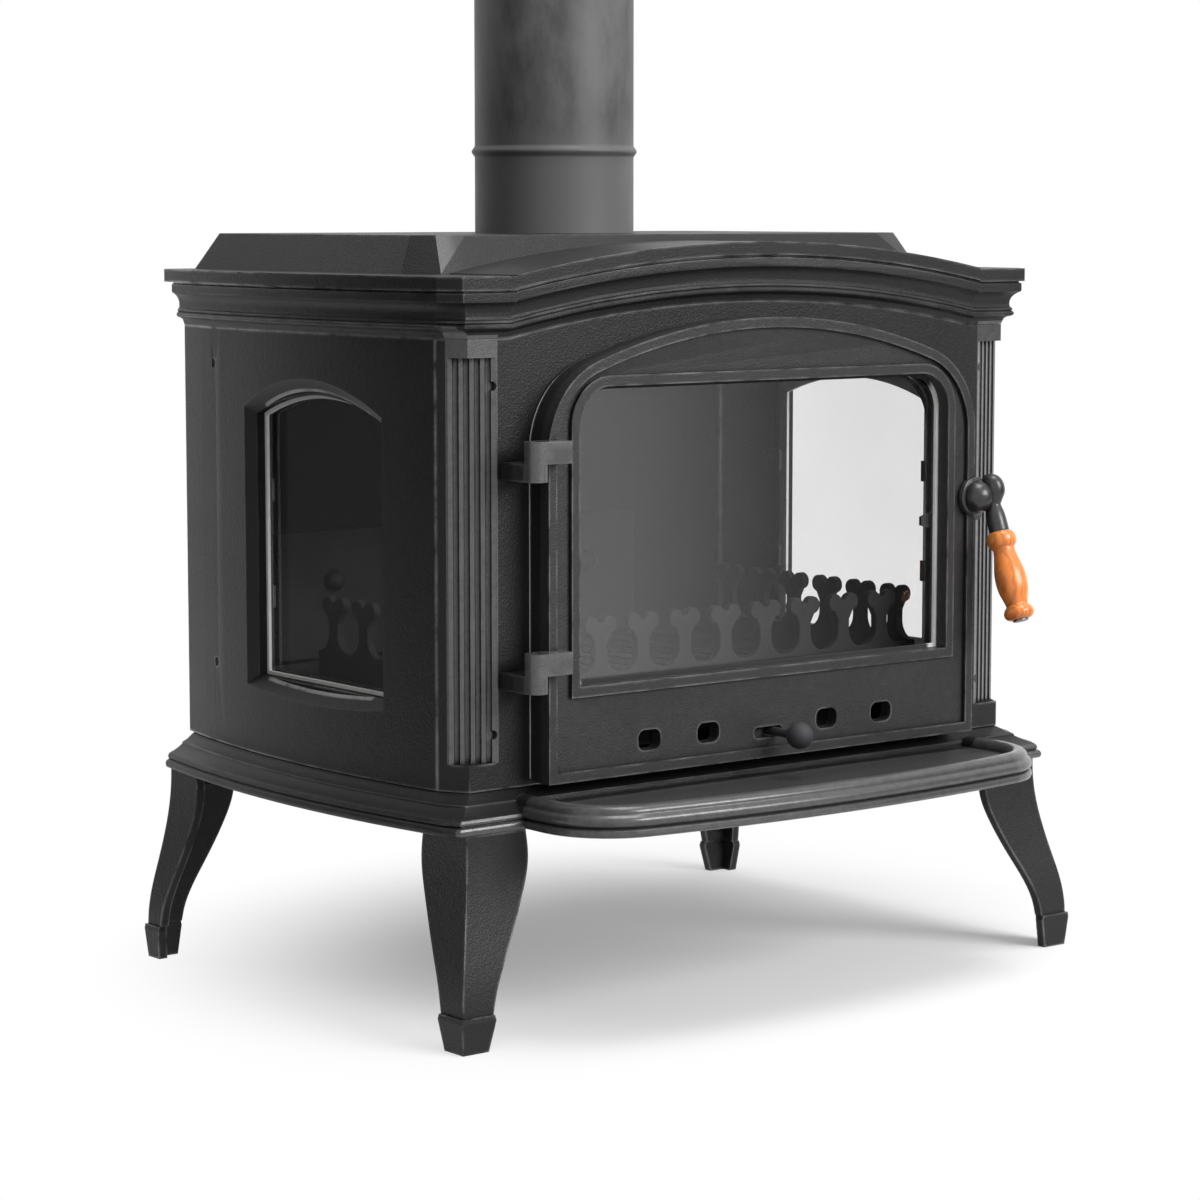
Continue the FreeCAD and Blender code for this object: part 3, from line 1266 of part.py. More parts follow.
# Handle
def handle():
    face = "-(body_front + door_gap + door_thick + rim_proud)"
    level = "leg_height + base_height + handle_height"
    hub = solid("Cylinder", "handle_hub", {"Radius": "hub_radius", "Height": "hub_thick"},
                ("handle_side", face + " - running", level), RIGHT, 90)
    dome = solid("Sphere", "handle_dome", {"Radius": "dome_radius"},
                 ("handle_side", face + " - hub_thick", level))
    shave = solid("Box", "handle_dome_back", {"Length": "4 * dome_radius", "Width": "2 * dome_radius",
                                              "Height": "4 * dome_radius"},
                  ("handle_side - 2 * dome_radius", face + " - running", level + " - 2 * dome_radius"))
    knuckle_at = ("handle_side + knuckle_side", face + " - knuckle_front", level + " + knuckle_up")
    knuckle = solid("Sphere", "handle_knuckle", {"Radius": "knuckle_radius"}, knuckle_at)
    reach = vec(v.knuckle_side, -v.knuckle_front + v.hub_thick, v.knuckle_up)
    arm = solid("Cylinder", "handle_arm", {"Radius": "arm_radius"},
                ("handle_side", face + " - hub_thick", level))
    arm.Placement = FreeCAD.Placement(arm.Placement.Base, FreeCAD.Rotation(UP, reach))
    arm.setExpression("Height", linked("sqrt(knuckle_side^2 + (knuckle_front - hub_thick)^2 + knuckle_up^2)"))
    neck = solid("Cylinder", "handle_neck", {"Radius": "neck_radius", "Height": "neck_length"},
                 knuckle_at, RIGHT, 180)
    bottom = (knuckle_at[0], knuckle_at[1], knuckle_at[2] + " - neck_length + neck_radius")
    ferrule = solid("Cone", "handle_ferrule", {"Radius1": "neck_radius", "Radius2": "ferrule_radius",
                                               "Height": "ferrule_length"}, bottom, RIGHT, 180 - v.handle_tilt)
    blank = fuse("handle_lever_blank", [dome, hub, knuckle, arm, neck, ferrule])
    lever = cut("handle_lever_shaved", blank, shave)
    down = vec(0, -math.sin(math.radians(v.handle_tilt)), -math.cos(math.radians(v.handle_tilt)))
    grip_top = vec(v.handle_side + v.knuckle_side, -HUB_FACE - v.knuckle_front,
                   SPINDLE_LEVEL + v.knuckle_up - v.neck_length + v.neck_radius) + down * v.ferrule_length
    tap = solid("Cylinder", "handle_screw_tap", {"Height": "ferrule_length / 2 + overrun"}, bottom, RIGHT,
                180 - v.handle_tilt)
    tap.setExpression("Radius", linked("grip_bore - running"))
    for letter, text in zip("xyz", (bottom[0], bottom[1] + " - sin(handle_tilt) * ferrule_length / 2",
                                    bottom[2] + " - cos(handle_tilt) * ferrule_length / 2")):
        tap.setExpression("Placement.Base." + letter, linked(text))
    node(cut("handle_lever", lever, tap), "handle_lever")
    grip = new_body("handle_grip")
    outline = [(v.grip_bore, share * v.grip_length) for share in (1, 0)]
    turned(grip, [(radius * v.grip_radius, share * v.grip_length) for share, radius in GRIP_SHARES] + outline)
    grip_at = (bottom[0], bottom[1] + " - sin(handle_tilt) * ferrule_length",
               bottom[2] + " - cos(handle_tilt) * ferrule_length")
    place(grip, grip_at, RIGHT, 180 - v.handle_tilt)
    start = grip_top - down * (v.ferrule_length / 2)
    screw = rod(start, down, v.ferrule_length / 2 + v.grip_length, v.grip_bore - v.seam)
    head = rod(grip_top + down * v.grip_length, down, v.clip_thick / 2, v.grip_bore * 2)
    shaped("grip_screw", screw.fuse(head))
    axis = vec(v.handle_side, -HUB_FACE, SPINDLE_LEVEL)
    bearing = v.door_thick + v.rim_proud - v.boss_back
    tail = v.door_thick + v.rim_proud - v.seam
    spindle = rod(axis, -FORWARD, bearing, v.spindle_radius)
    square = rod(axis, -FORWARD, tail, v.spindle_radius / 2)
    shaped("handle_spindle", spindle.fuse(square))
    turn = -math.radians(v.catch_angle)
    along = polar(1, turn)
    tongue_front = axis - FORWARD * bearing
    half = v.tongue_half
    side = vec(-along.y, along.x)
    flat = math.sqrt(v.tongue_reach ** 2 - half ** 2)
    spots = [side * half, along * flat + side * half, along * v.tongue_reach,
             along * flat - side * half, side * -half]
    around = [vec(spot.x, 0, spot.y) + tongue_front for spot in spots]
    blade = Part.Face(wire([Part.LineSegment(around[0], around[1]), Part.Arc(*around[1:4]),
                            Part.LineSegment(around[3], around[4]),
                            Part.Arc(around[4], tongue_front - vec(along.x, 0, along.y) * half, around[0])]))
    bore = rod(tongue_front + FORWARD * v.overrun, -FORWARD, v.tongue_thick + 2 * v.overrun,
               v.spindle_radius / 2 + v.seam)
    shaped("latch_tongue", blade.extrude(vec(0, v.tongue_thick, 0)).cut(bore))
    nut_front = tongue_front - FORWARD * v.tongue_thick
    room = tail - bearing - v.tongue_thick
    nut = rod(nut_front, -FORWARD, room, v.spindle_radius)
    bore = rod(nut_front + FORWARD * v.overrun, -FORWARD, room + 2 * v.overrun, v.spindle_radius / 2 + v.seam)
    shaped("latch_nut", nut.cut(bore))


# Firebox
def firebox():
    foot = "leg_height + base_height"
    carrier = new_body("grate_carrier")
    outer, wall = v.carrier_half, v.carrier_wall
    front, back = -v.carrier_front, v.carrier_back
    points = [(-outer, front), (-outer + wall, front), (-outer + wall, back - wall),
              (outer - wall, back - wall), (outer - wall, front), (outer, front), (outer, back), (-outer, back)]
    pad(carrier, "XY_Plane", ring([vec(*point) for point in points]), "carrier_height", foot)
    grate = new_body("grate")
    level = foot + " + carrier_height"
    pad(grate, "XY_Plane", rectangle(-v.grate_half, v.grate_half, front, back), "grate_thick", level)
    step = v.grate_bar + v.grate_gap
    reach = outer - wall - v.grate_border / 2
    count = int(2 * reach // step)
    gaps = []
    for slot in range(count):
        x = (slot - (count - 1) / 2) * step
        gaps += rectangle(x - v.grate_gap / 2, x + v.grate_gap / 2, front + v.grate_border * 1.5,
                          back - v.grate_border)
    pocket(grate, "XY_Plane", gaps, "grate_thick + 2 * overrun", level + " + grate_thick + overrun")
    guard("log_guard_front", 2 * v.guard_half, ("0", "-guard_front", "0"), 0)
    deep = v.guard_back + v.guard_front
    for side, name in ((-1, "log_guard_left"), (1, "log_guard_right")):
        guard(name, deep, (f"{side} * guard_side - guard_thick / 2", "(guard_back - guard_front) / 2", "0"), 90)
    liner = new_body("back_liner")
    pad(liner, "XZ_Plane", rectangle(-v.liner_half, v.liner_half, GRATE_TOP, GRATE_TOP + v.liner_height),
        "liner_thick", "-body_back + back_wall")
    spots = [circle(side * v.liner_bolt_side, GRATE_TOP + v.liner_bolt_rise, v.liner_bolt_radius + v.seam)
             for side in (-1, 1)]
    pocket(liner, "XZ_Plane", spots, "liner_thick + 2 * overrun",
           "-body_back + back_wall + liner_thick + overrun")
    bolts = []
    for side in (-1, 1):
        face = vec(side * v.liner_bolt_side, v.body_back - v.back_wall - v.liner_thick,
                   GRATE_TOP + v.liner_bolt_rise)
        dome = Part.makeSphere(v.liner_dome_radius, face)
        far = 2 * v.liner_dome_radius
        behind = box(face.x - far, face.x + far, face.y, face.y + far, face.z - far, face.z + far)
        shank = rod(face, -FORWARD, v.liner_thick + v.back_wall, v.liner_bolt_radius)
        bolts.append(dome.cut(behind).fuse(shank))
    group("liner_bolts", bolts)
    brackets = []
    shelf = BODY_FOOT + v.bracket_level
    wall_face = v.body_back - v.back_wall
    for side in (-1, 1):
        x = side * v.bracket_side
        brackets.append(box(x - v.bracket_width / 2, x + v.bracket_width / 2,
                            wall_face - v.bracket_length, wall_face, shelf - v.bracket_tall, shelf))
    group("baffle_brackets", brackets)
    sizes = {"Length": "2 * baffle_half", "Width": "body_back - back_wall + baffle_front",
             "Height": "baffle_thick"}
    baffle = solid("Box", "baffle_plate", sizes, ("-baffle_half", "-baffle_front", foot + " + bracket_level"))
    node(baffle, "baffle_plate")


def guard(name, length, at, turn):
    """A fretted guard on the grate: posts with twin lobes and rounded gaps, drawn along x, then turned."""
    body = new_body(name)
    strip_top = GRATE_TOP + v.guard_strip
    count = int((length - v.guard_spread - 2 * v.guard_lobe) // v.guard_pitch) + 1
    half = max(length, count * v.guard_pitch) / 2
    bottom = [vec(-half, strip_top), vec(-half, GRATE_TOP), vec(half, GRATE_TOP), vec(half, strip_top)]
    edges = [Part.LineSegment(start, end) for start, end in zip(bottom, bottom[1:])]
    last = bottom[-1]
    for post in range(count):
        for edge in guard_post(((count - 1) / 2 - post) * v.guard_pitch, strip_top):
            if (edge.StartPoint - last).Length > v.running:
                edges.append(Part.LineSegment(last, edge.StartPoint))
            edges.append(edge)
            last = edge.EndPoint
    if (bottom[0] - last).Length > v.running:
        edges.append(Part.LineSegment(last, bottom[0]))
    pad(body, "XZ_Plane", edges, "guard_thick")
    place(body, at, UP, turn)
    return body


def guard_post(x, foot):
    """One post's outline from right to left: half a gap, the neck, two lobes, and back down."""
    neck = v.guard_neck / 2
    gap = v.guard_pitch / 2 - neck
    lobe, level = v.guard_lobe, GRATE_TOP + v.guard_height - v.guard_lobe
    right, left = vec(x + v.guard_spread / 2, level), vec(x - v.guard_spread / 2, level)
    under, notch = LOBE_ANGLES
    shoulder = vec(x + neck, level - 2 * lobe)
    mirror = vec(x - neck, shoulder.y)
    return [arc_about(vec(x + neck + gap, foot + gap), gap, -math.pi / 2, -math.pi),
            Part.LineSegment(vec(x + neck, foot + gap), shoulder),
            arc_about(right, lobe, math.radians(under), math.radians(notch)),
            arc_about(left, lobe, math.radians(180 - notch), math.radians(180 - under)),
            Part.LineSegment(mirror, vec(x - neck, foot + gap)),
            arc_about(vec(x - neck - gap, foot + gap), gap, 0, -math.pi / 2)]


# Ash pan
def ash_pan():
    half = v.carrier_half - v.carrier_wall - v.pan_play
    rail_half = v.pan_rail_width / 2
    rails = [box(side * v.pan_rail_side - rail_half, side * v.pan_rail_side + rail_half,
                 -v.pan_front, v.pan_back, BODY_FOOT, BODY_FOOT + v.pan_rail_tall) for side in (-1, 1)]
    group("pan_rails", rails)
    body = new_body("ash_pan")
    foot = "leg_height + base_height + pan_rail_tall"
    pad(body, "XY_Plane", rectangle(-half, half, -v.pan_front, v.pan_back), "pan_tall", foot)
    wall = v.pan_wall
    pocket(body, "XY_Plane", rectangle(-half + wall, half - wall, -v.pan_front + wall, v.pan_back - wall),
           "pan_tall - pan_wall", foot + " + pan_tall")
    level = BODY_FOOT + v.pan_rail_tall + v.pan_tall / 2
    wire_radius = v.pan_loop_wire
    ends = [vec(side * v.pan_loop_half, -v.pan_front, level) for side in (-1, 1)]
    legs_out = [rod(end, FORWARD, v.pan_loop_reach, wire_radius) for end in ends]
    bar = rod(ends[0] + FORWARD * (v.pan_loop_reach - wire_radius), RIGHT, 2 * v.pan_loop_half, wire_radius)
    shaped("ash_pan_handle", bar.fuse(legs_out))


base_plate()
legs()
tie_rods()
front_frame()
side_pieces()
back_panel()
cornice()
top_plate()
flue()
door()
door_glazing()
hinge_pins()
catch()
air_control()
handle()
firebox()
ash_pan()
doc.recompute()

# Every object has to be sound before anything is written
for item in doc.Objects:
    if "Invalid" in item.State or "Error" in item.State:
        raise RuntimeError(f"{item.Name} failed: {item.State}")
for piece in nodes:
    if piece.Shape.isNull() or not piece.Shape.isValid() or not piece.Shape.Solids:
        raise RuntimeError(f"{piece.Label} has no sound shape")
os.makedirs("parts", exist_ok=True)
for piece in nodes:
    piece.Shape.exportStep(f"parts/{piece.Label}.step")
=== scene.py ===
import math

import bmesh
import bpy
import numpy as np
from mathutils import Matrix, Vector


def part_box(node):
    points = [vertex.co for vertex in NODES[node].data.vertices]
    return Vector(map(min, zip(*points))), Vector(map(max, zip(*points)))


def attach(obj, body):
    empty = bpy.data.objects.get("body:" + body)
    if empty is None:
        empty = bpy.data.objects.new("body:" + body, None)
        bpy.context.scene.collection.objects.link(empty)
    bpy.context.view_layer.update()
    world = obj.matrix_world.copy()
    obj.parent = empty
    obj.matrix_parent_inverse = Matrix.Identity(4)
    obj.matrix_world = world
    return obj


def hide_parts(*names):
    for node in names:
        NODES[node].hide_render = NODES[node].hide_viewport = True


bl_info = {
    "name": "Cast Iron Wood Stove",
    "version": (1, 0, 0),
    "blender": (4, 5, 0),
    "location": "3D View > Sidebar > Stove",
    "description": "Dresses a cast iron wood stove: sand-cast plates, glazing, flue, turned grip and studio",
    "category": "Add Mesh",
}

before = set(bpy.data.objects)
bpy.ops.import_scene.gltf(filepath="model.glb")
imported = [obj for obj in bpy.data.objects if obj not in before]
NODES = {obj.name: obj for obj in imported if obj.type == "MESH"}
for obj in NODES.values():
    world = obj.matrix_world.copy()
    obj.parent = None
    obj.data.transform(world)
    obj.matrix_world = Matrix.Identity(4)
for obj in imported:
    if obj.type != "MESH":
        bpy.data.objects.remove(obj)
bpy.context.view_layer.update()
MM = 0.001
WHITE = (1, 1, 1, 1)

# Points of a surface nearer than this are one point, on a new piece and on a CAD node's loose triangles
SEAM_WELD = 1e-6
CAD_WELD = 2e-6
# Faces that turn less than this are one flat, and edges that turn more are rounded
FLAT_TURN = math.radians(0.4)
EDGE_TURN = math.radians(24)

# Depths: front of the front casting, just behind the door's face and the lugs' faces, and clear of them all
FRAME_FRONT = -164 * MM
BEHIND_DOOR_FACE = -182 * MM
BEHIND_LUG_FACES = -196.5 * MM
BEFORE_ALL = -230 * MM
# A least distance from the middle plane that leaves nothing out, and room about a box's faces
FROM_MIDDLE = -1
ROOM = 1 * MM
# Flutes of a corner: from and to across, their depth, and how far they stop from the frame's foot and top
FLUTES_ACROSS = (281 * MM, 331 * MM)
FLUTES_DEPTH = 18 * MM
FLUTES_STOP = (23 * MM, 16 * MM)
# Hinge lugs: from and to across, and from and to in height
LUGS_ACROSS = (225 * MM, 300 * MM)
LUGS_HEIGHT = (250 * MM, 560 * MM)
# Half the door's width, and where the ash lip is clear of the frame
DOOR_HALF = 280 * MM
LIP_CLEAR = 26 * MM
# Width of the door gasket's outer runs that stay white, and of the change to sooted rope
CLEAN_RUN = 15 * MM
SOOT_FADE = 6 * MM

# Rim of the ash lip, around its section: inset from the lip's outline and height, in millimetres
RIM_PROFILE = ((4, 190), (1.6, 189), (0.5, 190.3), (0.1, 192.6), (0.6, 195), (2.2, 197), (4, 197.8),
               (4.6, 198.6), (4.4, 200), (5.2, 202.2), (7.4, 204.4), (11, 205.8), (15, 205.6), (18.6, 203.8),
               (20.8, 200.8), (21.8, 197), (20, 194), (12, 192))
# Where the rim's sides start, in front of the frame, and its points along a side, a corner and half the bow
RIM_START = -174 * MM
RIM_POINTS = (12, 40, 70)
RIM_EDGE_TURN = math.radians(50)

# Swaged bead of the pipe: half its height, and how far it stands out
BEAD_HALF = 6 * MM
BEAD_RISE = 3 * MM
# Ends of the pipe: height and depth of the upper chamfer, and how far in a ring keeps an edge sharp
CHAMFER_HEIGHT = 0.6 * MM
CHAMFER_DEPTH = 0.4 * MM
EDGE_RING = 1 * MM
PIPE_EDGE_TURN = math.radians(40)

# Door handle in millimetres: its pivot on the door, and the elbow where the lever turns down to the grip
HANDLE_PIVOT = (250, -194.05, 434)
LEVER_ELBOW = (262, -207, 424)
# Flange on the door: radius and height, then the radius of the dome and its height over the door
FLANGE_PROFILE = ((0, 0), (17.4, 0), (18, 0.6), (18, 1.6), (17.2, 2.4), (15.6, 2.6))
DOME_RADIUS = 15.5
DOME_RISE = 4
# Lever from its knuckle to the elbow, distances down the ferrule, and the radius at each of these points
LEVER_PATH = ((257, -199, 447.5), (259, -203, 448), (261.5, -207, 446), (262.6, -208.5, 440),
              (262.4, -207.6, 433), (262, -207, 427))
FERRULE_STEPS = (5, 12, 24)
LEVER_RADII = (5, 7.2, 8.6, 9, 7.6, 6.8, 8.6, 9.2, 9.4)
# Turned grip from its ferrule to its end: share of the length, radius in millimetres
GRIP_PROFILE = ((0, 9.4), (0.008, 11), (0.03, 12.6), (0.07, 13.7), (0.12, 13.5), (0.16, 12.2),
                (0.18, 10.6), (0.195, 10), (0.24, 10.3), (0.33, 11.8), (0.45, 13.9), (0.56, 14.5),
                (0.66, 13.8), (0.75, 11.8), (0.81, 10.4), (0.835, 10.1), (0.85, 10.8), (0.875, 12.6),
                (0.915, 13.9), (0.95, 13.6), (0.98, 11.8), (0.995, 9.4), (1, 8.2))
# Eye for the screw in the grip's end: radius and distance back from the end, in millimetres
EYE_PROFILE = ((6.4, 0.4), (5.8, 2.5), (0, 2.5))

# Air knob in millimetres: start of its neck, the neck's radius and height, and the ball with its first turn
KNOB_START = (7, -180, 236)
NECK_PROFILE = ((0, 0), (4, 0), (4, 24), (4.2, 28), (4.8, 31), (6, 33))
BALL_RADIUS = 12
BALL_HEIGHT = 44.2
BALL_START = -math.radians(58)

# Studio lamps: name, place, what they point at, size in metres and power in watts
LAMPS = (("key_softbox", (1.3, -3.4, 2.1), (0, 0, 0.45), (2.2, 1.6), 130),
         ("top_softbox", (0.3, -0.6, 3.0), (0, 0, 0.5), (1.4, 1.2), 36),
         ("rear_strip", (-1.5, 2.6, 1.3), (-0.3, 0.2, 0.5), (0.6, 1.8), 8))
FLOOR_HALF = 30
# Middle of the shadow on the floor, and how far from it the shadow starts to fade and is gone
SHADOW_MIDDLE = (0.13, -0.08, 0)
SHADOW_FADE = (0.28, 0.68)
SENSOR_WIDTH = 36


# Shader helpers
class Flow:
    """A socket that takes arithmetic: each operation adds one Math node to its tree."""

    def __init__(self, finish, socket):
        self.finish = finish
        self.socket = socket

    def math(self, operation, *others, clamp=False):
        sockets = dict(enumerate((self,) + others))
        return self.finish.node("ShaderNodeMath", {"operation": operation, "use_clamp": clamp}, sockets)

    def __add__(self, other):
        return self.math("ADD", other)

    def __sub__(self, other):
        return self.math("SUBTRACT", other)

    def __mul__(self, other):
        return self.math("MULTIPLY", other)

    def __pow__(self, other):
        return self.math("POWER", other)

    def __rsub__(self, other):
        return self.finish.node("ShaderNodeMath", {"operation": "SUBTRACT"}, {0: other, 1: self})

    __radd__ = __add__
    __rmul__ = __mul__

    def step(self, low, high):
        """0 below low, 1 above high, smooth between."""
        return self.finish.node("ShaderNodeMapRange", {"interpolation_type": "SMOOTHSTEP"},
                                {"Value": self, "From Min": low, "From Max": high})


class Finish:
    """A material being made: node() adds any node, surface() ends it in a shader."""

    def __init__(self, name):
        self.material = bpy.data.materials.new(name)
        self.material.use_nodes = True
        self.tree = self.material.node_tree
        self.tree.nodes.clear()
        self.place = self.node("ShaderNodeTexCoord", out="Object")

    def node(self, kind, settings=None, sockets=None, out=0):
        """Adds any node, with its settings first, then its sockets' values or links, and gives one output."""
        made = self.tree.nodes.new(kind)
        for key, value in (settings or {}).items():
            setattr(made, key, value)
        for key, value in (sockets or {}).items():
            named = [one for one in made.inputs if one.identifier == key]
            socket = named[0] if named else made.inputs[key]
            if isinstance(value, Flow):
                self.tree.links.new(value.socket, socket)
            else:
                socket.default_value = value
        outputs = [one for one in made.outputs if one.identifier == out]
        return Flow(self, outputs[0] if outputs else made.outputs[out])

    def noise(self, scale, detail=3, rough=0.55, where=None):
        return self.node("ShaderNodeTexNoise", {}, {"Vector": where or self.place, "Scale": scale,
                                                    "Detail": detail, "Roughness": rough})

    def mix(self, amount, first, second):
        return self.node("ShaderNodeMix", {"data_type": "RGBA"},
                         {"Factor_Float": amount, "A_Color": first, "B_Color": second}, "Result_Color")

    def vector(self, operation, first, second, out):
        return self.node("ShaderNodeVectorMath", {"operation": operation}, {0: first, 1: second}, out)

    def mix_shader(self, amount, first, second):
        return self.node("ShaderNodeMixShader", {}, {"Fac": amount, 1: first, 2: second})

    def bump(self, height, depth, strength):
        return self.node("ShaderNodeBump", {}, {"Height": height, "Distance": depth, "Strength": strength})

    def shut_in(self, radius, inside):
        """Share of rays out of the skin, or into it, that meet the piece itself within a radius."""
        settings = {"samples": 6, "inside": inside, "only_local": True}
        return 1 - self.node("ShaderNodeAmbientOcclusion", settings, {"Distance": radius}, "AO")

    def ridges(self, radius):
        """0 on flats and in hollows, rising on edges, where the metal is thin under the skin."""
        return self.shut_in(radius, True)

    def hollows(self, radius):
        """0 on flats and edges, rising in grooves, where the piece hides the sky."""
        return self.shut_in(radius, False)

    def part(self, vector, axis):
        """One coordinate of a vector."""
        return self.node("ShaderNodeSeparateXYZ", {}, {0: vector}, axis)

    def along(self, axis):
        """One of the object's own coordinates."""
        return self.part(self.place, axis)

    def face(self):
        """The way that a face points."""
        return self.node("ShaderNodeNewGeometry", out="True Normal")

    def within(self, low, high):
        """1 inside a box or its mirror image across the middle plane, else 0."""
        inside = None
        for axis, start, end in zip("XYZ", low, high):
            place = self.along(axis)
            if axis == "X":
                place = place.math("ABSOLUTE")
            between = place.math("GREATER_THAN", start) * place.math("LESS_THAN", end)
            inside = inside * between if inside else between
        return inside

    def facing_in(self, low, high):
        """1 where a surface lies within a box about the middle plane and faces its middle, else 0."""
        inside = self.within(low, high)
        middle = tuple((start + end) / 2 for start, end in zip(low, high))
        away = self.vector("SUBTRACT", self.place, middle, "Vector")
        turned_in = self.vector("DOT_PRODUCT", away, self.face(), "Value")
        return inside * turned_in.math("LESS_THAN", 0.0)

    def sloping_front(self, height):
        """1 on facets above a height that look to the front and up at about 40 degrees, else 0."""
        face = self.face()
        front = self.part(face, "Y").math("LESS_THAN", -0.65)
        up = self.part(face, "Z").math("GREATER_THAN", 0.56)
        return front * up * self.along("Z").math("GREATER_THAN", height)

    def principled(self, **sockets):
        named = {key.replace("_", " "): value for key, value in sockets.items()}
        return self.node("ShaderNodeBsdfPrincipled", {}, named)

    def surface(self, shader):
        end = self.tree.nodes.new("ShaderNodeOutputMaterial")
        self.tree.links.new(shader.socket, end.inputs["Surface"])
        return self.material


def rgb(colour):
    """A colour with full cover."""
    return (*colour[:3], 1)


def tone(colour, share):
    """A colour made darker or paler, with full cover."""
    return rgb(tuple(part * share for part in colour[:3]))


# Finishes
def sand_cast(name, colour, worn, grain, wear, fire_box=None, burnished=(), tip=None):
    """Painted sand casting: pitted grain, cloudy tone, worn edges, soot that faces the fire, and painted
    shade that darkens its grooves.

    burnished lists boxes with the share of bare metal in them; on the ash lip this is partly wear and partly
    a painted highlight. tip gives a share, and the height above which sloping facets have it: a painted
    highlight on the crown's corner facets.
    """
    made = Finish(name)
    clouds = made.noise(scale=7, detail=4)
    fine = made.noise(scale=grain, detail=2, rough=0.6)
    coarse = made.noise(scale=grain / 4)
    patchy = made.noise(scale=38, detail=4) * 2.8 - 0.95
    # Mask of the grooves that hide the sky: it paints shade into them below, and keeps bare metal out of them
    hollow_shade_mask = made.hollows(radius=7 * MM).step(0.12, 0.6)
    wear_and_highlight = made.ridges(radius=3 * MM).step(0.1, 0.55) * patchy
    wear_and_highlight = wear_and_highlight.math("MULTIPLY", wear, clamp=True)
    # Painted highlight: the crown's sloping corner facets get the pale, glossy bare-metal colour, not from
    # wear
    if tip:
        share, height = tip
        wear_and_highlight = wear_and_highlight.math("MAXIMUM", made.sloping_front(height) * share)
    for share, low, high in burnished:
        raised = made.within(low, high) * (1 - hollow_shade_mask) * (0.45 + coarse) * share
        wear_and_highlight = wear_and_highlight.math("MAXIMUM", raised)
    gloss = wear_and_highlight.step(0.0, 0.24)
    body = made.mix(clouds.step(0.3, 0.72), tone(colour, 0.86), tone(colour, 1.12))
    body = made.mix(fine.step(0.6, 0.78) * 0.3, body, tone(colour, 1.8))
    # Painted shade: the grooves are darkened towards a fifth of the paint's colour
    body = made.mix(hollow_shade_mask * 0.7, body, tone(colour, 0.2))
    # Pale bare metal: wear on the edges, a painted highlight on the crown's corner facets, partly so on the
    # lip
    body = made.mix(wear_and_highlight, body, rgb(worn))
    rough = 0.42 - wear_and_highlight * 0.2 + (fine - 0.5) * 0.2 + (clouds - 0.5) * 0.12
    if fire_box:
        soot = made.facing_in(*fire_box)
        body = made.mix(soot, body, tone(colour, 0.22))
        rough = rough + soot * 0.4
    skin = made.bump(fine + coarse * 0.5, depth=0.55 * MM, strength=0.9)
    return made.surface(made.principled(Base_Color=body, Roughness=rough, Specular_IOR_Level=0.26,
                                        Coat_Weight=gloss, Coat_Roughness=0.22, Normal=skin))


def soot_iron(name, colour):
    """Iron inside the fire: dull, patchy, with pale dust on what faces up."""
    made = Finish(name)
    patches = made.noise(scale=14, detail=5)
    fine = made.noise(scale=500, detail=2)
    up = made.part(made.node("ShaderNodeNewGeometry", out="Normal"), "Z")
    dust = up.step(0.4, 0.95) * patches.step(0.4, 0.7) * 0.5
    body = made.mix(patches.step(0.3, 0.7), tone(colour, 0.7), tone(colour, 1.3))
    body = made.mix(dust, body, tone(colour, 3))
    rough = 0.75 + (fine - 0.5) * 0.2
    skin = made.bump(fine, depth=0.3 * MM, strength=0.5)
    return made.surface(made.principled(Base_Color=body, Roughness=rough, Specular_IOR_Level=0.2,
                                        Normal=skin))


def flue_coat(name, colour, bead):
    """Satin flue paint over rolled steel: mottled, drawn a little along the pipe, and paler below its bead,
    where painted light stands in for light thrown up off the top plate.
    """
    made = Finish(name)
    drawn = made.node("ShaderNodeMapping", {}, {"Vector": made.place, "Scale": (1, 1, 0.45)})
    mottle = made.noise(scale=38, detail=5, rough=0.62, where=drawn)
    broad = made.noise(scale=9, detail=3, rough=0.5, where=drawn)
    fine = made.noise(scale=700, detail=2)
    shade = mottle * 0.65 + broad * 0.5
    # Painted light: below the bead the coat is made paler, in place of light thrown up off the top plate
    below = 1 - made.along("Z").step(bead - 20 * MM, bead + 40 * MM)
    body = made.mix(shade.step(0.4, 0.78), tone(colour, 0.5), tone(colour, 1.5))
    body = made.mix(below, body, tone(colour, 1.7))
    rough = 0.5 + (mottle - 0.5) * 0.35
    skin = made.bump(mottle + fine * 0.15, depth=0.4 * MM, strength=0.35)
    return made.surface(made.principled(Base_Color=body, Roughness=rough, Specular_IOR_Level=0.35,
                                        Normal=skin))


def stove_glass(name, colour, haze, clear, shine):
    """Clear ceramic glass with a thin smoky film: each face mirrors shine + (1 - shine) * slant^5."""
    made = Finish(name)
    slant = made.node("ShaderNodeLayerWeight", {}, {"Blend": 0.5}, "Facing")
    mirror = made.node("ShaderNodeBsdfGlossy", {}, {"Color": WHITE, "Roughness": 0.02})
    through = made.node("ShaderNodeBsdfTransparent", {}, {"Color": rgb(clear)})
    pane = made.mix_shader(slant ** 5 * (1 - shine) + shine, through, mirror)
    film = made.principled(Base_Color=rgb(colour), Roughness=0.8)
    cover = made.noise(scale=5).step(0.25, 0.8) * haze
    return made.surface(made.mix_shader(cover, pane, film))


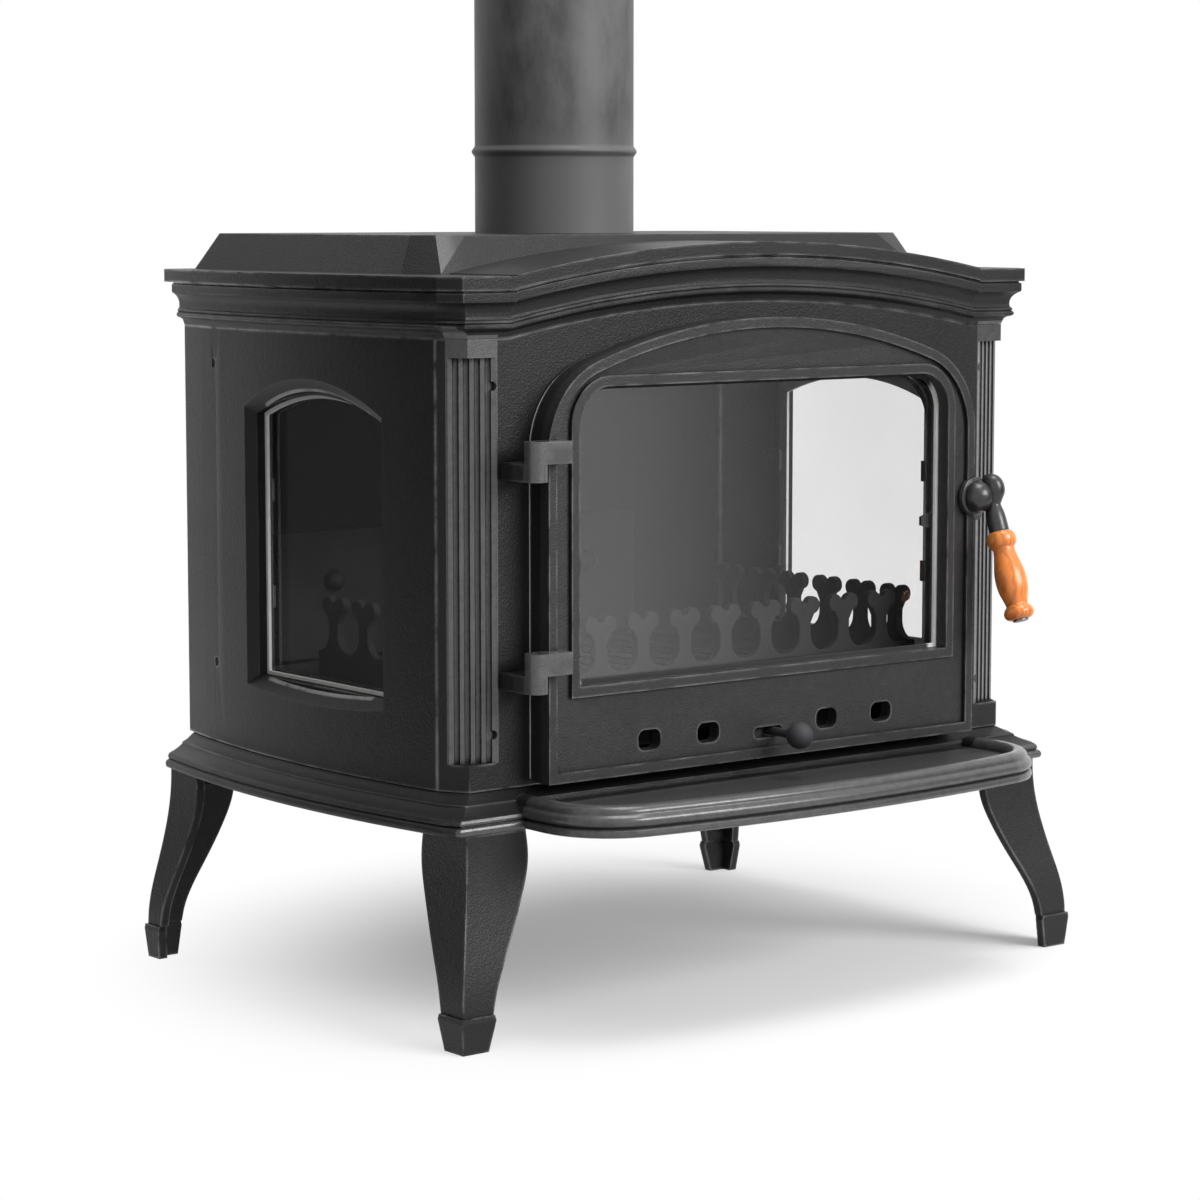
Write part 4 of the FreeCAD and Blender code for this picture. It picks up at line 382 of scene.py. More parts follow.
def rope_white(name, colour, clean=None):
    """White glass rope in a tight twill, sooted where it lies nearer the middle than clean, if given."""
    made = Finish(name)
    lines = made.node("ShaderNodeTexWave", {"bands_direction": "DIAGONAL"},
                      {"Vector": made.place, "Scale": 260, "Distortion": 1.5}, "Fac")
    grime = made.noise(scale=20).step(0.45, 0.8) * 0.35
    body = made.mix(grime, rgb(colour), tone(colour, 0.55))
    if clean:
        sooted = 1 - made.along("X").math("ABSOLUTE").step(clean - SOOT_FADE, clean)
        body = made.mix(sooted, body, tone(colour, 0.03))
    twill = made.bump(lines, depth=0.5 * MM, strength=0.6)
    return made.surface(made.principled(Base_Color=body, Roughness=0.9, Normal=twill))


def satin_black(name, colour):
    """Smooth black enamel over a casting: faint waves, a broad soft shine, a little paler in patches."""
    made = Finish(name)
    waves = made.noise(scale=160)
    fine = made.noise(scale=900, detail=2)
    body = made.mix(waves.step(0.35, 0.7), tone(colour, 0.8), tone(colour, 1.25))
    rough = 0.3 + (waves - 0.5) * 0.15
    skin = made.bump(fine * 0.3 + waves, depth=0.4 * MM, strength=0.5)
    return made.surface(made.principled(Base_Color=body, Roughness=rough, Specular_IOR_Level=0.6,
                                        Normal=skin))


def grip_wood(name, colour, axis, start):
    """Varnished hardwood: grain lines and pores run along the grip's axis from its start."""
    made = Finish(name)
    lean = -math.atan2(axis[1], -axis[2])
    place = made.node("ShaderNodeMapping", {"vector_type": "TEXTURE"},
                      {"Vector": made.place, "Location": start, "Rotation": (lean, 0, 0)})
    drawn = made.node("ShaderNodeMapping", {}, {"Vector": place, "Scale": (1, 1, 0.09)})
    rings = made.node("ShaderNodeTexWave", {"wave_type": "BANDS", "bands_direction": "X"},
                      {"Vector": drawn, "Scale": 60, "Distortion": 7, "Detail": 3, "Detail Scale": 1.4},
                      "Fac")
    pores = made.noise(scale=900, rough=0.6, where=drawn)
    blush = made.noise(scale=40, detail=2, rough=0.5, where=place)
    red, green, blue = colour
    body = made.mix(rings.step(0.2, 0.95), tone(colour, 1.08), tone(colour, 0.76))
    body = made.mix(pores.step(0.58, 0.75) * 0.5, body, tone(colour, 0.35))
    body = made.mix(blush.step(0.5, 0.75) * 0.4, body, rgb((red * 1.1, green * 1.45, blue * 1.9)))
    rough = 0.36 + (pores - 0.5) * 0.2
    skin = made.bump(pores, depth=0.2 * MM, strength=0.3)
    return made.surface(made.principled(Base_Color=body, Roughness=rough, Coat_Weight=0.4,
                                        Coat_Roughness=0.2, Normal=skin))


def bright_steel(name, colour, rough):
    """Plain worked steel with fine turning marks and a touch of tarnish."""
    made = Finish(name)
    marks = made.noise(scale=420, detail=2)
    tarnish = made.noise(scale=30, detail=4).step(0.4, 0.7)
    body = made.mix(tarnish, rgb(colour), tone(colour, 0.55))
    brushed = rough + (marks - 0.5) * 0.2
    skin = made.bump(marks, depth=0.15 * MM, strength=0.3)
    return made.surface(made.principled(Base_Color=body, Metallic=0.85, Roughness=brushed, Normal=skin))


# Mesh helpers
def new_piece(name, shell, body, slot, material, *nodes):
    """A smooth mesh of points and faces that faces outwards, rides on a body and stands for CAD nodes."""
    points, faces = shell
    mesh = bpy.data.meshes.new(name)
    mesh.from_pydata(points.tolist(), [], faces.tolist())
    mesh.validate()
    mesh.materials.append(material)
    weld_outwards(mesh)
    piece = bpy.data.objects.new(name, mesh)
    bpy.context.scene.collection.objects.link(piece)
    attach(piece, body)
    if nodes:
        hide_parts(*nodes)
    return piece


def weld_outwards(mesh):
    """Welds poles and seams, then points every face outwards."""
    made = bmesh.new()
    made.from_mesh(mesh)
    bmesh.ops.remove_doubles(made, verts=made.verts, dist=SEAM_WELD)
    bmesh.ops.recalc_face_normals(made, faces=made.faces)
    made.to_mesh(mesh)
    made.free()
    mesh.shade_smooth()


def grid_faces(rows, columns):
    """Quads of a grid whose columns close on themselves: row r, column c joins r+1 and c+1."""
    row, column = np.meshgrid(np.arange(rows - 1), np.arange(columns), indexing="ij")
    after = (column + 1) % columns
    quads = np.stack([row * columns + column, row * columns + after, (row + 1) * columns + after,
                      (row + 1) * columns + column], -1)
    return quads.reshape(-1, 4)


def circle(around):
    """Cosine and sine of even turns."""
    turn = np.linspace(0, 2 * math.pi, around, endpoint=False)
    return np.cos(turn), np.sin(turn)


def curve_through(points, count):
    """Catmull-Rom curve through control points: each span blends four neighbours by cubic weights."""
    points = np.asarray(points, float)
    padded = np.vstack([2 * points[0] - points[1], points, 2 * points[-1] - points[-2]])
    along = np.linspace(0, len(points) - 1, count)
    span = np.minimum(along.astype(int), len(points) - 2)
    t = (along - span)[:, None]
    a, b, c, d = (padded[span + shift] for shift in range(4))
    square = 2 * a - 5 * b + 4 * c - d
    cube = 3 * b - a - 3 * c + d
    return 0.5 * (2 * b + (c - a) * t + square * t ** 2 + cube * t ** 3)


def turned(outline, origin, axis, around=72):
    """Surface of revolution about an axis off X: (radius, height) to origin + axis*height + radius*ring."""
    axis = np.asarray(axis, float) / np.linalg.norm(axis)
    across = np.cross(axis, [1.0, 0, 0])
    across /= np.linalg.norm(across)
    other = np.cross(axis, across)
    cos, sin = circle(around)
    ring = cos[:, None] * across + sin[:, None] * other
    points = origin + outline[:, 1, None, None] * axis + outline[:, 0, None, None] * ring[None]
    return points.reshape(-1, 3), grid_faces(len(outline), around)


def swept(path, radii, around=48):
    """Round tube of changing radius: a circle square to the path at each point, capped by end radii of 0."""
    along = np.gradient(path, axis=0)
    along /= np.linalg.norm(along, axis=1)[:, None]
    across = np.cross(along, [1.0, 0, 0])
    across /= np.linalg.norm(across, axis=1)[:, None]
    other = np.cross(along, across)
    cos, sin = circle(around)
    ring = cos[None, :, None] * across[:, None] + sin[None, :, None] * other[:, None]
    points = path[:, None] + radii[:, None, None] * ring
    return points.reshape(-1, 3), grid_faces(len(path), around)


def carried(profile, plan, inward):
    """Profile along a level path: (inset, height) to plan + inward*inset, with ends drawn to their middle."""
    inset, height = profile.T
    points = np.empty((len(plan), len(inset), 3))
    points[:, :, :2] = plan[:, None] + inward[:, None] * inset[None, :, None]
    points[:, :, 2] = height
    ends = points[[0, -1]].mean(1, keepdims=True).repeat(len(inset), 1)
    points = np.concatenate([ends[:1], points, ends[1:]])
    return points.reshape(-1, 3), grid_faces(len(points), len(inset))


def joined(first, second):
    """Two shells as one mesh: points stacked, face numbers of the second moved on."""
    return np.vstack([first[0], second[0]]), np.vstack([first[1], second[1] + len(first[0])])


def cast_copy(node, body, material, bevel):
    """A CAD casting with rounded edges: its triangles are welded and merged, then bevelled at their turns."""
    mesh = NODES[node].data.copy()
    mesh.name = node + "_cast"
    mesh.materials.clear()
    mesh.materials.append(material)
    made = bmesh.new()
    made.from_mesh(mesh)
    bmesh.ops.remove_doubles(made, verts=made.verts, dist=CAD_WELD)
    bmesh.ops.dissolve_limit(made, angle_limit=FLAT_TURN, verts=made.verts, edges=made.edges)
    made.to_mesh(mesh)
    made.free()
    mesh.shade_smooth()
    mesh.set_sharp_from_angle(angle=EDGE_TURN)
    piece = bpy.data.objects.new(node + "_cast", mesh)
    bpy.context.scene.collection.objects.link(piece)
    rounding = piece.modifiers.new("rounded edges", "BEVEL")
    rounding.width = bevel
    rounding.segments = 2
    rounding.limit_method = "ANGLE"
    rounding.angle_limit = EDGE_TURN
    rounding.use_clamp_overlap = True
    rounding.harden_normals = True
    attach(piece, body)
    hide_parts(node)


def paint(material, *names):
    """Gives CAD nodes that stay a material of their own."""
    for name in names:
        NODES[name].data.materials.clear()
        NODES[name].data.materials.append(material)


# Sizes and colours
def colour_property(name, words, default):
    return bpy.props.FloatVectorProperty(name=name, description=words, default=default, subtype="COLOR",
                                         size=3, min=0, max=1)


def length_property(name, words, default):
    return bpy.props.FloatProperty(name=name, description=words, default=default, unit="LENGTH")


def share_property(name, words, default):
    return bpy.props.FloatProperty(name=name, description=words, default=default, subtype="FACTOR",
                                   min=0, max=1)


def angle_property(name, words, default):
    return bpy.props.FloatProperty(name=name, description=words, default=math.radians(default),
                                   subtype="ANGLE")


class StoveCastings(bpy.types.PropertyGroup):
    iron: colour_property("Iron", "Stove paint on the castings", (0.015, 0.015, 0.0152))
    worn: colour_property("Worn edges", "Rubbed metal along the edges", (0.24, 0.24, 0.24))
    bevel: length_property("Edge", "Rounding of the cast edges", 1.2 * MM)
    grain: bpy.props.FloatProperty(name="Grain", description="Sand grains in a metre", default=620)
    wear: share_property("Wear", "Rubbing of the edges", 0.75)
    # Partly wear and partly a painted highlight on the ash lip's bands and trough
    lip_wear_and_highlight: share_property("Lip wear and highlight", "Bare metal on the ash lip", 0.19)
    flute_wear: share_property("Flute wear", "Bare metal on the corner flutes", 0.23)
    lug_wear: share_property("Lug wear", "Bare metal on the hinge lugs", 0.25)
    door_wear: share_property("Door wear", "Bare metal on the door's face", 0.06)
    # Painted highlight, not wear: share of pale, glossy colour painted on the crown's corner facets
    tip_highlight: share_property("Tip highlight", "Bare metal on the crown's corner facets", 0.09)
    tip_height: length_property("Tip height", "Height above which the crown's corner facets lie", 630 * MM)
    lip_half: length_property("Lip half", "Half the width of the ash lip", 276 * MM)
    lip_reach: length_property("Lip reach", "Ash lip in front of the middle", 303 * MM)
    lip_corner: length_property("Lip corner", "Corner radius of the ash lip", 70 * MM)
    lip_bow: length_property("Lip bow", "Radius of the ash lip's front", 1500 * MM)


class StoveFirebox(bpy.types.PropertyGroup):
    soot: colour_property("Soot", "Iron inside the fire", (0.027, 0.0268, 0.0265))
    sheet: colour_property("Sheet", "Dull steel of the ash pan, clips and shutter", (0.12, 0.12, 0.12))
    steel: colour_property("Steel", "Bolts, nuts and rods", (0.16, 0.16, 0.165))


class StoveGlazing(bpy.types.PropertyGroup):
    tint: colour_property("Film", "Smoky film on the glass", (0.2, 0.2, 0.2))
    clear: colour_property("Clear", "Light let through", (0.99, 0.99, 0.99))
    rope: colour_property("Rope", "Glass rope seals", (0.92, 0.91, 0.89))
    haze: share_property("Haze", "Cover of the film", 0.03)
    shine: share_property("Shine", "Light mirrored by each face of the glass", 0.06)


class StoveFlue(bpy.types.PropertyGroup):
    coat: colour_property("Coat", "Satin paint on the pipe", (0.069, 0.069, 0.07))
    radius: length_property("Radius", "Outside radius of the pipe", 75 * MM)
    wall: length_property("Wall", "Thickness of the pipe", 2 * MM)
    bead: length_property("Bead", "Height of the swaged bead", 753 * MM)


class StoveHandle(bpy.types.PropertyGroup):
    iron: colour_property("Iron", "Satin black of the lever and knob", (0.02, 0.02, 0.021))
    wood: colour_property("Wood", "Varnished hardwood", (0.8, 0.225, 0.033))
    tilt: angle_property("Tilt", "Lean of the grip to the front", 20)
    length: length_property("Length", "Length of the grip", 84 * MM)


class StoveStage(bpy.types.PropertyGroup):
    floor: colour_property("Floor", "Pale studio floor", (0.93, 0.93, 0.93))
    shadow: share_property("Shadow", "Depth of the shadow under the object", 0.75)
    light: share_property("Light", "Level of the light from all round", 0.45)
    lens: bpy.props.FloatProperty(name="Lens", description="Focal length", default=103.956, unit="CAMERA")
    azimuth: angle_property("Azimuth", "Look to the right of straight back", 38.58)
    pitch: angle_property("Pitch", "Look below the horizon", 6.45)
    eye: bpy.props.FloatVectorProperty(name="Eye", description="Camera place", subtype="TRANSLATION",
                                       default=(-2.02425, -2.48695, 0.7))


# Pieces
def burnished_places(look):
    """Boxes of worn paint, on the ash lip partly a painted highlight: share of bare metal, lowest and highest
    corner, with x from the middle plane.
    """
    low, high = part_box("front_frame")
    plate_low, plate_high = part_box("base_plate")
    # The ash lip's pale metal is partly wear and partly a painted highlight on its bands and trough
    lip = (look.lip_wear_and_highlight, (FROM_MIDDLE, plate_low.y - ROOM, plate_low.z),
           (-plate_low.x, FRAME_FRONT - LIP_CLEAR, plate_high.z))
    flutes = (look.flute_wear, (FLUTES_ACROSS[0], FRAME_FRONT - ROOM, low.z + FLUTES_STOP[0]),
              (FLUTES_ACROSS[1], FRAME_FRONT + FLUTES_DEPTH, high.z - FLUTES_STOP[1]))
    lugs = (look.lug_wear, (LUGS_ACROSS[0], BEFORE_ALL, LUGS_HEIGHT[0]),
            (LUGS_ACROSS[1], BEHIND_LUG_FACES, LUGS_HEIGHT[1]))
    door_face = (look.door_wear, (FROM_MIDDLE, BEFORE_ALL, low.z), (DOOR_HALF, BEHIND_DOOR_FACE, high.z))
    return lip, flutes, lugs, door_face


class STOVE_OT_castings(bpy.types.Operator):
    """Body, base, legs, cornice, top and door: CAD castings with rounded, worn edges, painted shade in
    grooves and painted highlights
    """
    bl_idname = "stove.castings"
    bl_label = "Castings"

    def execute(self, context):
        look = context.scene.stove_castings
        low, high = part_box("front_frame")[0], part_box("back_panel")[1]
        skin = 2 * MM
        fire_box = ((low.x, FRAME_FRONT + skin, low.z), (-low.x, high.y - skin, high.z))
        iron = sand_cast("stove_iron", look.iron, look.worn, look.grain, look.wear, fire_box,
                         burnished_places(look), (look.tip_highlight, look.tip_height))
        shell = ("base_plate", "front_frame", "side_panel_left", "side_panel_right", "back_panel", "cornice",
                 "top_plate", "leg_front_left", "leg_front_right", "leg_rear_left", "leg_rear_right")
        for node in shell:
            cast_copy(node, "stove", iron, look.bevel)
        cast_copy("door", "door", iron, look.bevel)
        paint(iron, "flue_collar")
        return {"FINISHED"}


def lip_outline(half, reach, corner, bow):
    """Plan of the ash lip and the way in from it, as points (x, y).

    A straight side runs at x = half, an arc of the corner's radius touches it and the bow, and the bow is an
    arc about (0, bow - reach). The left half is the right half's mirror image.
    """
    side_points, corner_points, bow_points = RIM_POINTS
    bow_y = bow - reach
    corner_x = half - corner
    corner_y = bow_y - math.sqrt((bow - corner) ** 2 - corner_x ** 2)
    meeting = math.atan2(corner_y - bow_y, corner_x)
    side_y = np.linspace(RIM_START, corner_y, side_points, endpoint=False)
    side = np.stack([np.full_like(side_y, half), side_y], 1)
    side_in = np.tile([-1.0, 0.0], (len(side), 1))
    corner_turn = np.linspace(0, meeting, corner_points, endpoint=False)
    corner_in = -np.stack([np.cos(corner_turn), np.sin(corner_turn)], 1)
    bow_turn = np.linspace(meeting, -math.pi / 2, bow_points)
    bow_in = -np.stack([np.cos(bow_turn), np.sin(bow_turn)], 1)
    right = np.vstack([side, (corner_x, corner_y) - corner_in * corner, (0, bow_y) - bow_in * bow])
    right_in = np.vstack([side_in, corner_in, bow_in])
    mirror = np.array([-1.0, 1.0])
    return np.vstack([right, right[-2::-1] * mirror]), np.vstack([right_in, right_in[-2::-1] * mirror])


class STOVE_OT_ash_lip(bpy.types.Operator):
    """Double bead along the rim of the ash lip"""
    bl_idname = "stove.ash_lip"
    bl_label = "Ash lip"

    def execute(self, context):
        look = context.scene.stove_castings
        outline = lip_outline(look.lip_half, look.lip_reach, look.lip_corner, look.lip_bow)
        rim = new_piece("ash_lip_rim", carried(np.array(RIM_PROFILE) * MM, *outline), "stove", "cast_iron",
                        bpy.data.materials["stove_iron"])
        rim.data.set_sharp_from_angle(angle=RIM_EDGE_TURN)
        return {"FINISHED"}


class STOVE_OT_firebox(bpy.types.Operator):
    """Grate, log guards, liner, baffle and ash pan"""
    bl_idname = "stove.firebox"
    bl_label = "Firebox"

    def execute(self, context):
        look = context.scene.stove_firebox
        soot = soot_iron("soot_iron", look.soot)
        for node in ("log_guard_front", "log_guard_left", "log_guard_right", "back_liner"):
            cast_copy(node, "stove", soot, context.scene.stove_castings.bevel)
        paint(soot, "grate_carrier", "grate", "baffle_brackets", "baffle_plate")
        sheet = bright_steel("dull_sheet", look.sheet, rough=0.5)
        paint(sheet, "ash_pan", "air_shutter", "shutter_guides", "side_glass_clips", "door_glass_clips",
              "pan_rails")
        return {"FINISHED"}


class STOVE_OT_glazing(bpy.types.Operator):
    """Door and side glass with their white seals"""
    bl_idname = "stove.glazing"
    bl_label = "Glazing"

    def execute(self, context):
        look = context.scene.stove_glazing
        glass = stove_glass("ceramic_glass", look.tint, look.haze, look.clear, look.shine)
        paint(glass, "door_glass", "side_glass_left", "side_glass_right")
        rope = rope_white("glass_rope", look.rope)
        paint(rope, "door_rope_seal", "side_gasket_left", "side_gasket_right")
        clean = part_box("door_glass_gasket")[1].x - CLEAN_RUN
        paint(rope_white("sooted_rope", look.rope, clean), "door_glass_gasket")
        return {"FINISHED"}


def pipe_outline(low, high, outer, inner, bead):
    """Section of the pipe's wall as (radius, height), where the bead's radius is outer + rise*cos^2."""
    swell = np.linspace(-1, 1, 25)
    bulge = np.stack([outer + BEAD_RISE * np.cos(swell * math.pi / 2) ** 2, bead + swell * BEAD_HALF], 1)
    foot = np.array([[inner, low], [outer, low], [outer, low + EDGE_RING / 2]])
    end = np.array([[outer, high - CHAMFER_HEIGHT], [outer - CHAMFER_DEPTH, high], [inner, high]])
    wall = np.array([[inner, high - EDGE_RING], [inner, low]])
    return np.vstack([foot, bulge, end, wall])


class STOVE_OT_flue(bpy.types.Operator):
    """Flue pipe with its swaged bead"""
    bl_idname = "stove.flue"
    bl_label = "Flue pipe"

    def execute(self, context):
        look = context.scene.stove_flue
        low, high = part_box("flue_pipe")
        middle = (low + high) / 2
        outline = pipe_outline(low.z, high.z, look.radius, look.radius - look.wall, look.bead)
        pipe = turned(outline, np.array([middle.x, middle.y, 0]), (0, 0, 1), around=160)
        piece = new_piece("flue_pipe_drawn", pipe, "stove", "flue_steel",
                          flue_coat("flue_coat", look.coat, look.bead), "flue_pipe")
        piece.data.set_sharp_from_angle(angle=PIPE_EDGE_TURN)
        return {"FINISHED"}


def dome_shell():
    """Half ball on a flange: radius*cos and rise + radius*sin over a quarter turn, turned on the pivot."""
    turn = np.linspace(0, math.pi / 2, 24)
    dome = np.stack([DOME_RADIUS * np.cos(turn), DOME_RISE + DOME_RADIUS * np.sin(turn)], 1)
    return turned(np.vstack([FLANGE_PROFILE, dome]) * MM, np.array(HANDLE_PIVOT) * MM, (0, -1, 0))


def lever_shell(elbow, down):
    """Tube along a curve through the lever's points and down its ferrule, its radius on the same curve."""
    ferrule = elbow + np.outer(FERRULE_STEPS, down) * MM
    path = np.vstack([np.array(LEVER_PATH) * MM, ferrule])
    radii = np.array(LEVER_RADII) * MM
    line = curve_through(np.column_stack([path, radii]), count=80)
    caps = np.vstack([np.append(line[0, :3], 0), line, np.append(line[-1, :3], 0)])
    bulge = 0.01
    caps[0, :3] += (line[0, :3] - line[1, :3]) * bulge
    caps[-1, :3] += (line[-1, :3] - line[-2, :3]) * bulge
    return swept(caps[:, :3], caps[:, 3])


def grip_shell(start, down, length):
    """Curve through the grip's profile, closed at the ferrule and in the end's eye, turned on its axis."""
    profile = curve_through(GRIP_PROFILE, count=150)
    outline = np.stack([profile[:, 1] * MM, profile[:, 0] * length], 1)
    eye = np.array([[radius * MM, length - depth * MM] for radius, depth in EYE_PROFILE])
    return turned(np.vstack([[0, 0], outline, eye]), start, down, around=96)


class STOVE_OT_handle(bpy.types.Operator):
    """Cast lever with its dome, knuckle and ferrule, and the turned wooden grip"""
    bl_idname = "stove.handle"
    bl_label = "Door handle"

    def execute(self, context):
        look = context.scene.stove_handle
        elbow = np.array(LEVER_ELBOW) * MM
        down = np.array([0, -math.sin(look.tilt), -math.cos(look.tilt)])
        ferrule_end = elbow + down * FERRULE_STEPS[-1] * MM
        new_piece("door_lever", joined(dome_shell(), lever_shell(elbow, down)), "handle", "handle_iron",
                  satin_black("handle_iron", look.iron), "handle_lever")
        wood = grip_wood("grip_wood", look.wood, down, tuple(ferrule_end))
        new_piece("turned_grip", grip_shell(ferrule_end, down, look.length), "handle", "grip_wood", wood,
                  "handle_grip")
        return {"FINISHED"}


def knob_shell():
    """Neck, then a ball: radius*cos and height + radius*sin from the neck round to the pole, turned."""
    turn = np.linspace(BALL_START, math.pi / 2, 40)
    ball = np.stack([BALL_RADIUS * np.cos(turn), BALL_HEIGHT + BALL_RADIUS * np.sin(turn)], 1)
    return turned(np.vstack([NECK_PROFILE, ball]) * MM, np.array(KNOB_START) * MM, (0, -1, 0))


class STOVE_OT_air_knob(bpy.types.Operator):
    """Round air control knob on its neck"""
    bl_idname = "stove.air_knob"
    bl_label = "Air knob"

    def execute(self, context):
        iron = bpy.data.materials["handle_iron"]
        new_piece("air_knob_ball", knob_shell(), "air_control", "handle_iron", iron,
                  "air_knob", "air_knob_stem")
        return {"FINISHED"}


class STOVE_OT_fixings(bpy.types.Operator):
    """Bolts, nuts, rods, pins and other small steel"""
    bl_idname = "stove.fixings"
    bl_label = "Fixings"

    def execute(self, context):
        steel = bright_steel("fixing_steel", context.scene.stove_firebox.steel, rough=0.42)
        look = context.scene.stove_castings
        black = sand_cast("fixing_black", look.iron, look.worn, grain=700, wear=0.4)
        paint(steel, "tie_rods", "tie_rod_nuts", "side_clip_screws", "catch_stud", "catch_nut",
              "door_clip_screws", "grip_screw", "handle_spindle", "latch_tongue", "latch_nut",
              "ash_pan_handle", "leg_bolts", "collar_bolts")
        paint(black, "panel_screws", "hinge_pins", "liner_bolts")
        return {"FINISHED"}


# Stage
def soft_lamp(name, place, target, size, power):
    """A rectangular lamp at a place, turned to its target."""
    light = bpy.data.lights.new(name, "AREA")
    light.shape = "RECTANGLE"
    light.size, light.size_y = size
    light.energy = power
    lamp = bpy.data.objects.new(name, light)
    lamp.location = place
    away = Vector(place) - Vector(target)
    lamp.rotation_euler = away.to_track_quat("Z", "Y").to_euler()
    bpy.context.scene.collection.objects.link(lamp)


def flat_stage(name, corners, material):
    """A flat stage piece through four corners."""
    mesh = bpy.data.meshes.new(name)
    mesh.from_pydata(corners, [], [[0, 1, 2, 3]])
    mesh.materials.append(material)
    piece = bpy.data.objects.new(name, mesh)
    bpy.context.scene.collection.objects.link(piece)
    return piece


def shown_white(finish):
    """1 for what the camera sees, also in metal and through glass, and 0 for light on the object."""
    path = [finish.node("ShaderNodeLightPath", out=kind)
            for kind in ("Is Camera Ray", "Is Glossy Ray", "Is Transmission Ray")]
    return path[0].math("MAXIMUM", path[1]).math("MAXIMUM", path[2])


def studio_floor(colour, shadow, middle, near, far):
    """Pale floor that keeps the soft shadow about its middle and turns to plain white from near to far."""
    made = Finish("studio_floor")
    bounce = made.node("ShaderNodeLightPath", out="Is Diffuse Ray")
    body = made.mix(bounce, rgb(colour), tone(colour, 0.4))
    lit = made.principled(Base_Color=body, Roughness=0.9, Specular_IOR_Level=0.0)
    white = made.node("ShaderNodeEmission", {}, {"Color": WHITE, "Strength": 1.0})
    away = made.vector("DISTANCE", made.place, middle, "Value")
    cover = shown_white(made) * (away.step(near, far) * shadow + (1 - shadow))
    return made.surface(made.mix_shader(cover, lit, white))


def dark_card(name, axis, shade, starts, ends):
    """Dark card that fades out along an axis: clear before starts, dark up to ends, clear after them."""
    made = Finish(name)
    place = made.along(axis)
    card = made.principled(Base_Color=rgb((shade, shade, shade)), Roughness=1.0, Specular_IOR_Level=0.0)
    clear = made.node("ShaderNodeBsdfTransparent", {}, {"Color": WHITE})
    cover = place.step(*starts) * (1 - place.step(*ends))
    return made.surface(made.mix_shader(cover, clear, card))


def dark_flags():
    """Cards for the iron and glass to mirror, left of the stove and in front of it, unseen by the camera."""
    x, start, end, top = -1.05, -0.4, 3.0, 1.6
    left = flat_stage("left_flag", [(x, start, 0), (x, end, 0), (x, end, top), (x, start, top)],
                      dark_card("left_flag", "Y", shade=0.14, starts=(-0.35, 0.0), ends=(1.25, 2.9)))
    left.visible_camera = False
    y, start, end, top = -1.2, 0.5, 2.4, 1.4
    front = flat_stage("front_flag", [(start, y, 0), (end, y, 0), (end, y, top), (start, y, top)],
                       dark_card("front_flag", "X", shade=0.0, starts=(0.55, 1.2), ends=(2.0, 2.4)))
    front.visible_camera = False
    front.visible_diffuse = False
    front.visible_shadow = False


def white_world(level):
    """White to the camera, in metal and through glass, and a plain level of light on the object."""
    world = bpy.data.worlds.new("studio")
    world.use_nodes = True
    tree = world.node_tree
    tree.nodes.clear()
    path = tree.nodes.new("ShaderNodeLightPath")
    seen = path.outputs["Is Camera Ray"]
    for kind in ("Is Glossy Ray", "Is Transmission Ray"):
        either = tree.nodes.new("ShaderNodeMath")
        either.operation = "MAXIMUM"
        tree.links.new(seen, either.inputs[0])
        tree.links.new(path.outputs[kind], either.inputs[1])
        seen = either.outputs[0]
    strength = tree.nodes.new("ShaderNodeMapRange")
    strength.inputs["To Min"].default_value = level
    strength.inputs["To Max"].default_value = 1.0
    tree.links.new(seen, strength.inputs["Value"])
    back = tree.nodes.new("ShaderNodeBackground")
    back.inputs["Color"].default_value = WHITE
    tree.links.new(strength.outputs[0], back.inputs["Strength"])
    end = tree.nodes.new("ShaderNodeOutputWorld")
    tree.links.new(back.outputs[0], end.inputs["Surface"])
    return world


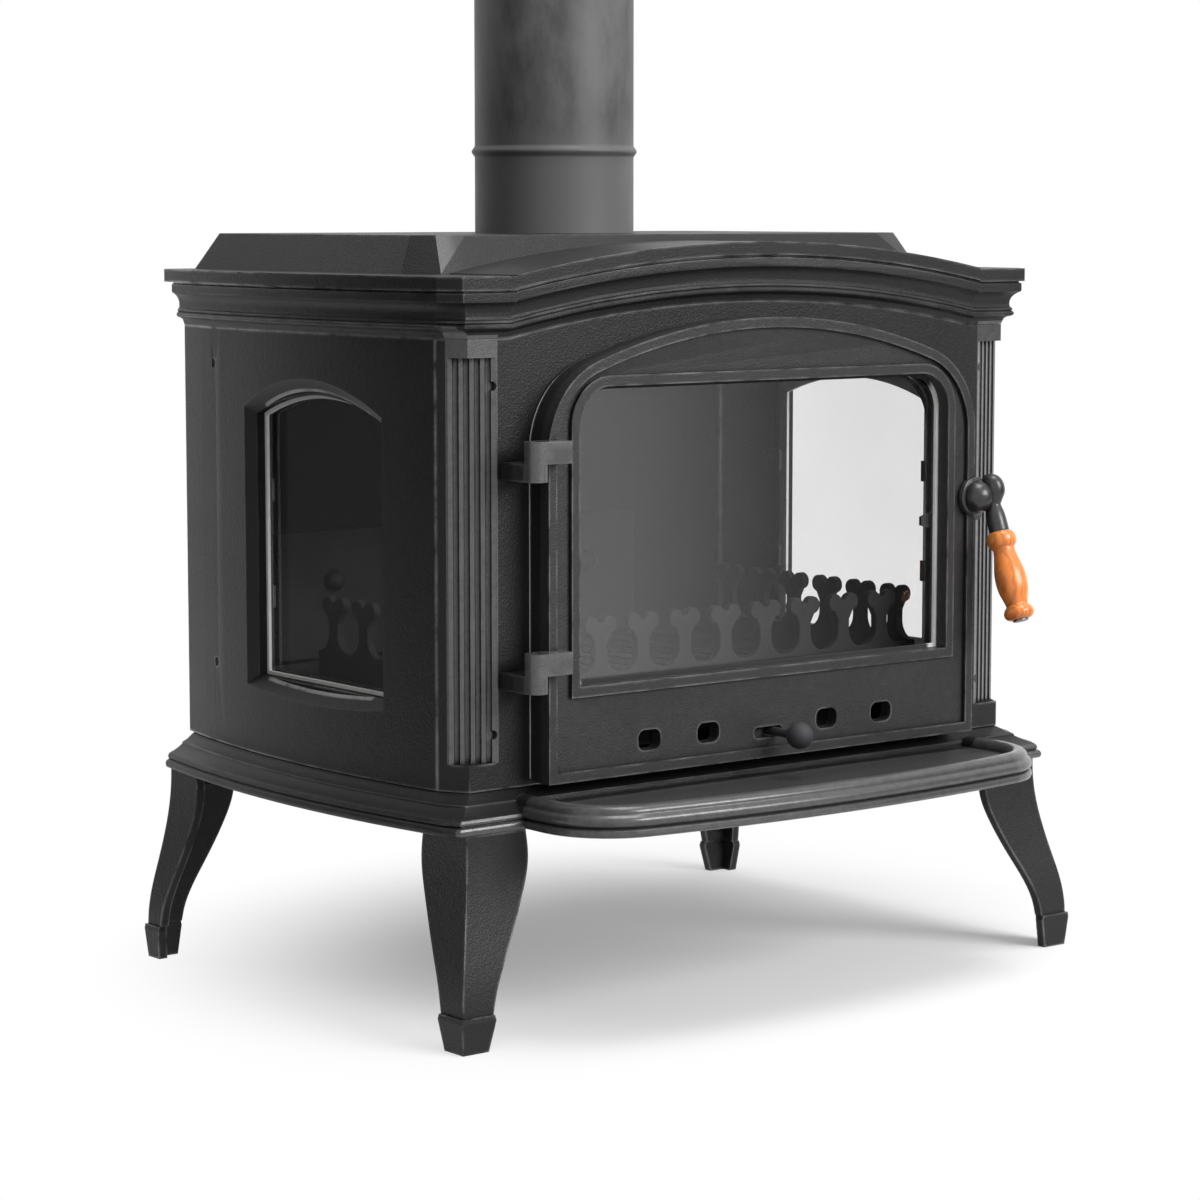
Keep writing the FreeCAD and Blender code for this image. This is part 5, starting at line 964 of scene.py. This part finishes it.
class STOVE_OT_stage(bpy.types.Operator):
    """Pale floor, soft studio light, dark flags, white surround and the camera"""
    bl_idname = "stove.stage"
    bl_label = "Stage"

    def execute(self, context):
        scene = context.scene
        look = scene.stove_stage
        scene.view_settings.view_transform = "Standard"
        scene.world = white_world(look.light)
        wide = FLOOR_HALF
        flat_stage("studio_floor", [(-wide, -wide, 0), (wide, -wide, 0), (wide, wide, 0), (-wide, wide, 0)],
                   studio_floor(look.floor, look.shadow, SHADOW_MIDDLE, *SHADOW_FADE))
        dark_flags()
        for lamp in LAMPS:
            soft_lamp(*lamp)
        camera = bpy.data.cameras.new("photo_camera")
        camera.lens = look.lens
        camera.sensor_width = SENSOR_WIDTH
        eye = bpy.data.objects.new("photo_camera", camera)
        eye.location = look.eye
        eye.rotation_euler = (math.pi / 2 - look.pitch, 0, -look.azimuth)
        scene.collection.objects.link(eye)
        scene.camera = eye
        return {"FINISHED"}


# Add-on
OPERATORS = (STOVE_OT_castings, STOVE_OT_ash_lip, STOVE_OT_firebox, STOVE_OT_glazing, STOVE_OT_flue,
             STOVE_OT_handle, STOVE_OT_air_knob, STOVE_OT_fixings, STOVE_OT_stage)
GROUPS = {"stove_castings": StoveCastings, "stove_firebox": StoveFirebox, "stove_glazing": StoveGlazing,
          "stove_flue": StoveFlue, "stove_handle": StoveHandle, "stove_stage": StoveStage}


class STOVE_PT_panel(bpy.types.Panel):
    """The stove's sizes, colours and steps"""
    bl_idname = "STOVE_PT_panel"
    bl_label = "Wood stove"
    bl_space_type = "VIEW_3D"
    bl_region_type = "UI"
    bl_category = "Stove"

    def draw(self, context):
        for step in OPERATORS:
            self.layout.operator(step.bl_idname)
        for name, group in GROUPS.items():
            column = self.layout.column(align=True)
            for key in group.__annotations__:
                column.prop(getattr(context.scene, name), key)


CLASSES = (*GROUPS.values(), *OPERATORS, STOVE_PT_panel)


def register():
    for made in CLASSES:
        bpy.utils.register_class(made)
    for name, group in GROUPS.items():
        setattr(bpy.types.Scene, name, bpy.props.PointerProperty(type=group))


def unregister():
    for name in GROUPS:
        delattr(bpy.types.Scene, name)
    for made in reversed(CLASSES):
        bpy.utils.unregister_class(made)


def main():
    register()
    for step in OPERATORS:
        group, name = step.bl_idname.split(".")
        getattr(getattr(bpy.ops, group), name)()


if __name__ == "__main__":
    main()
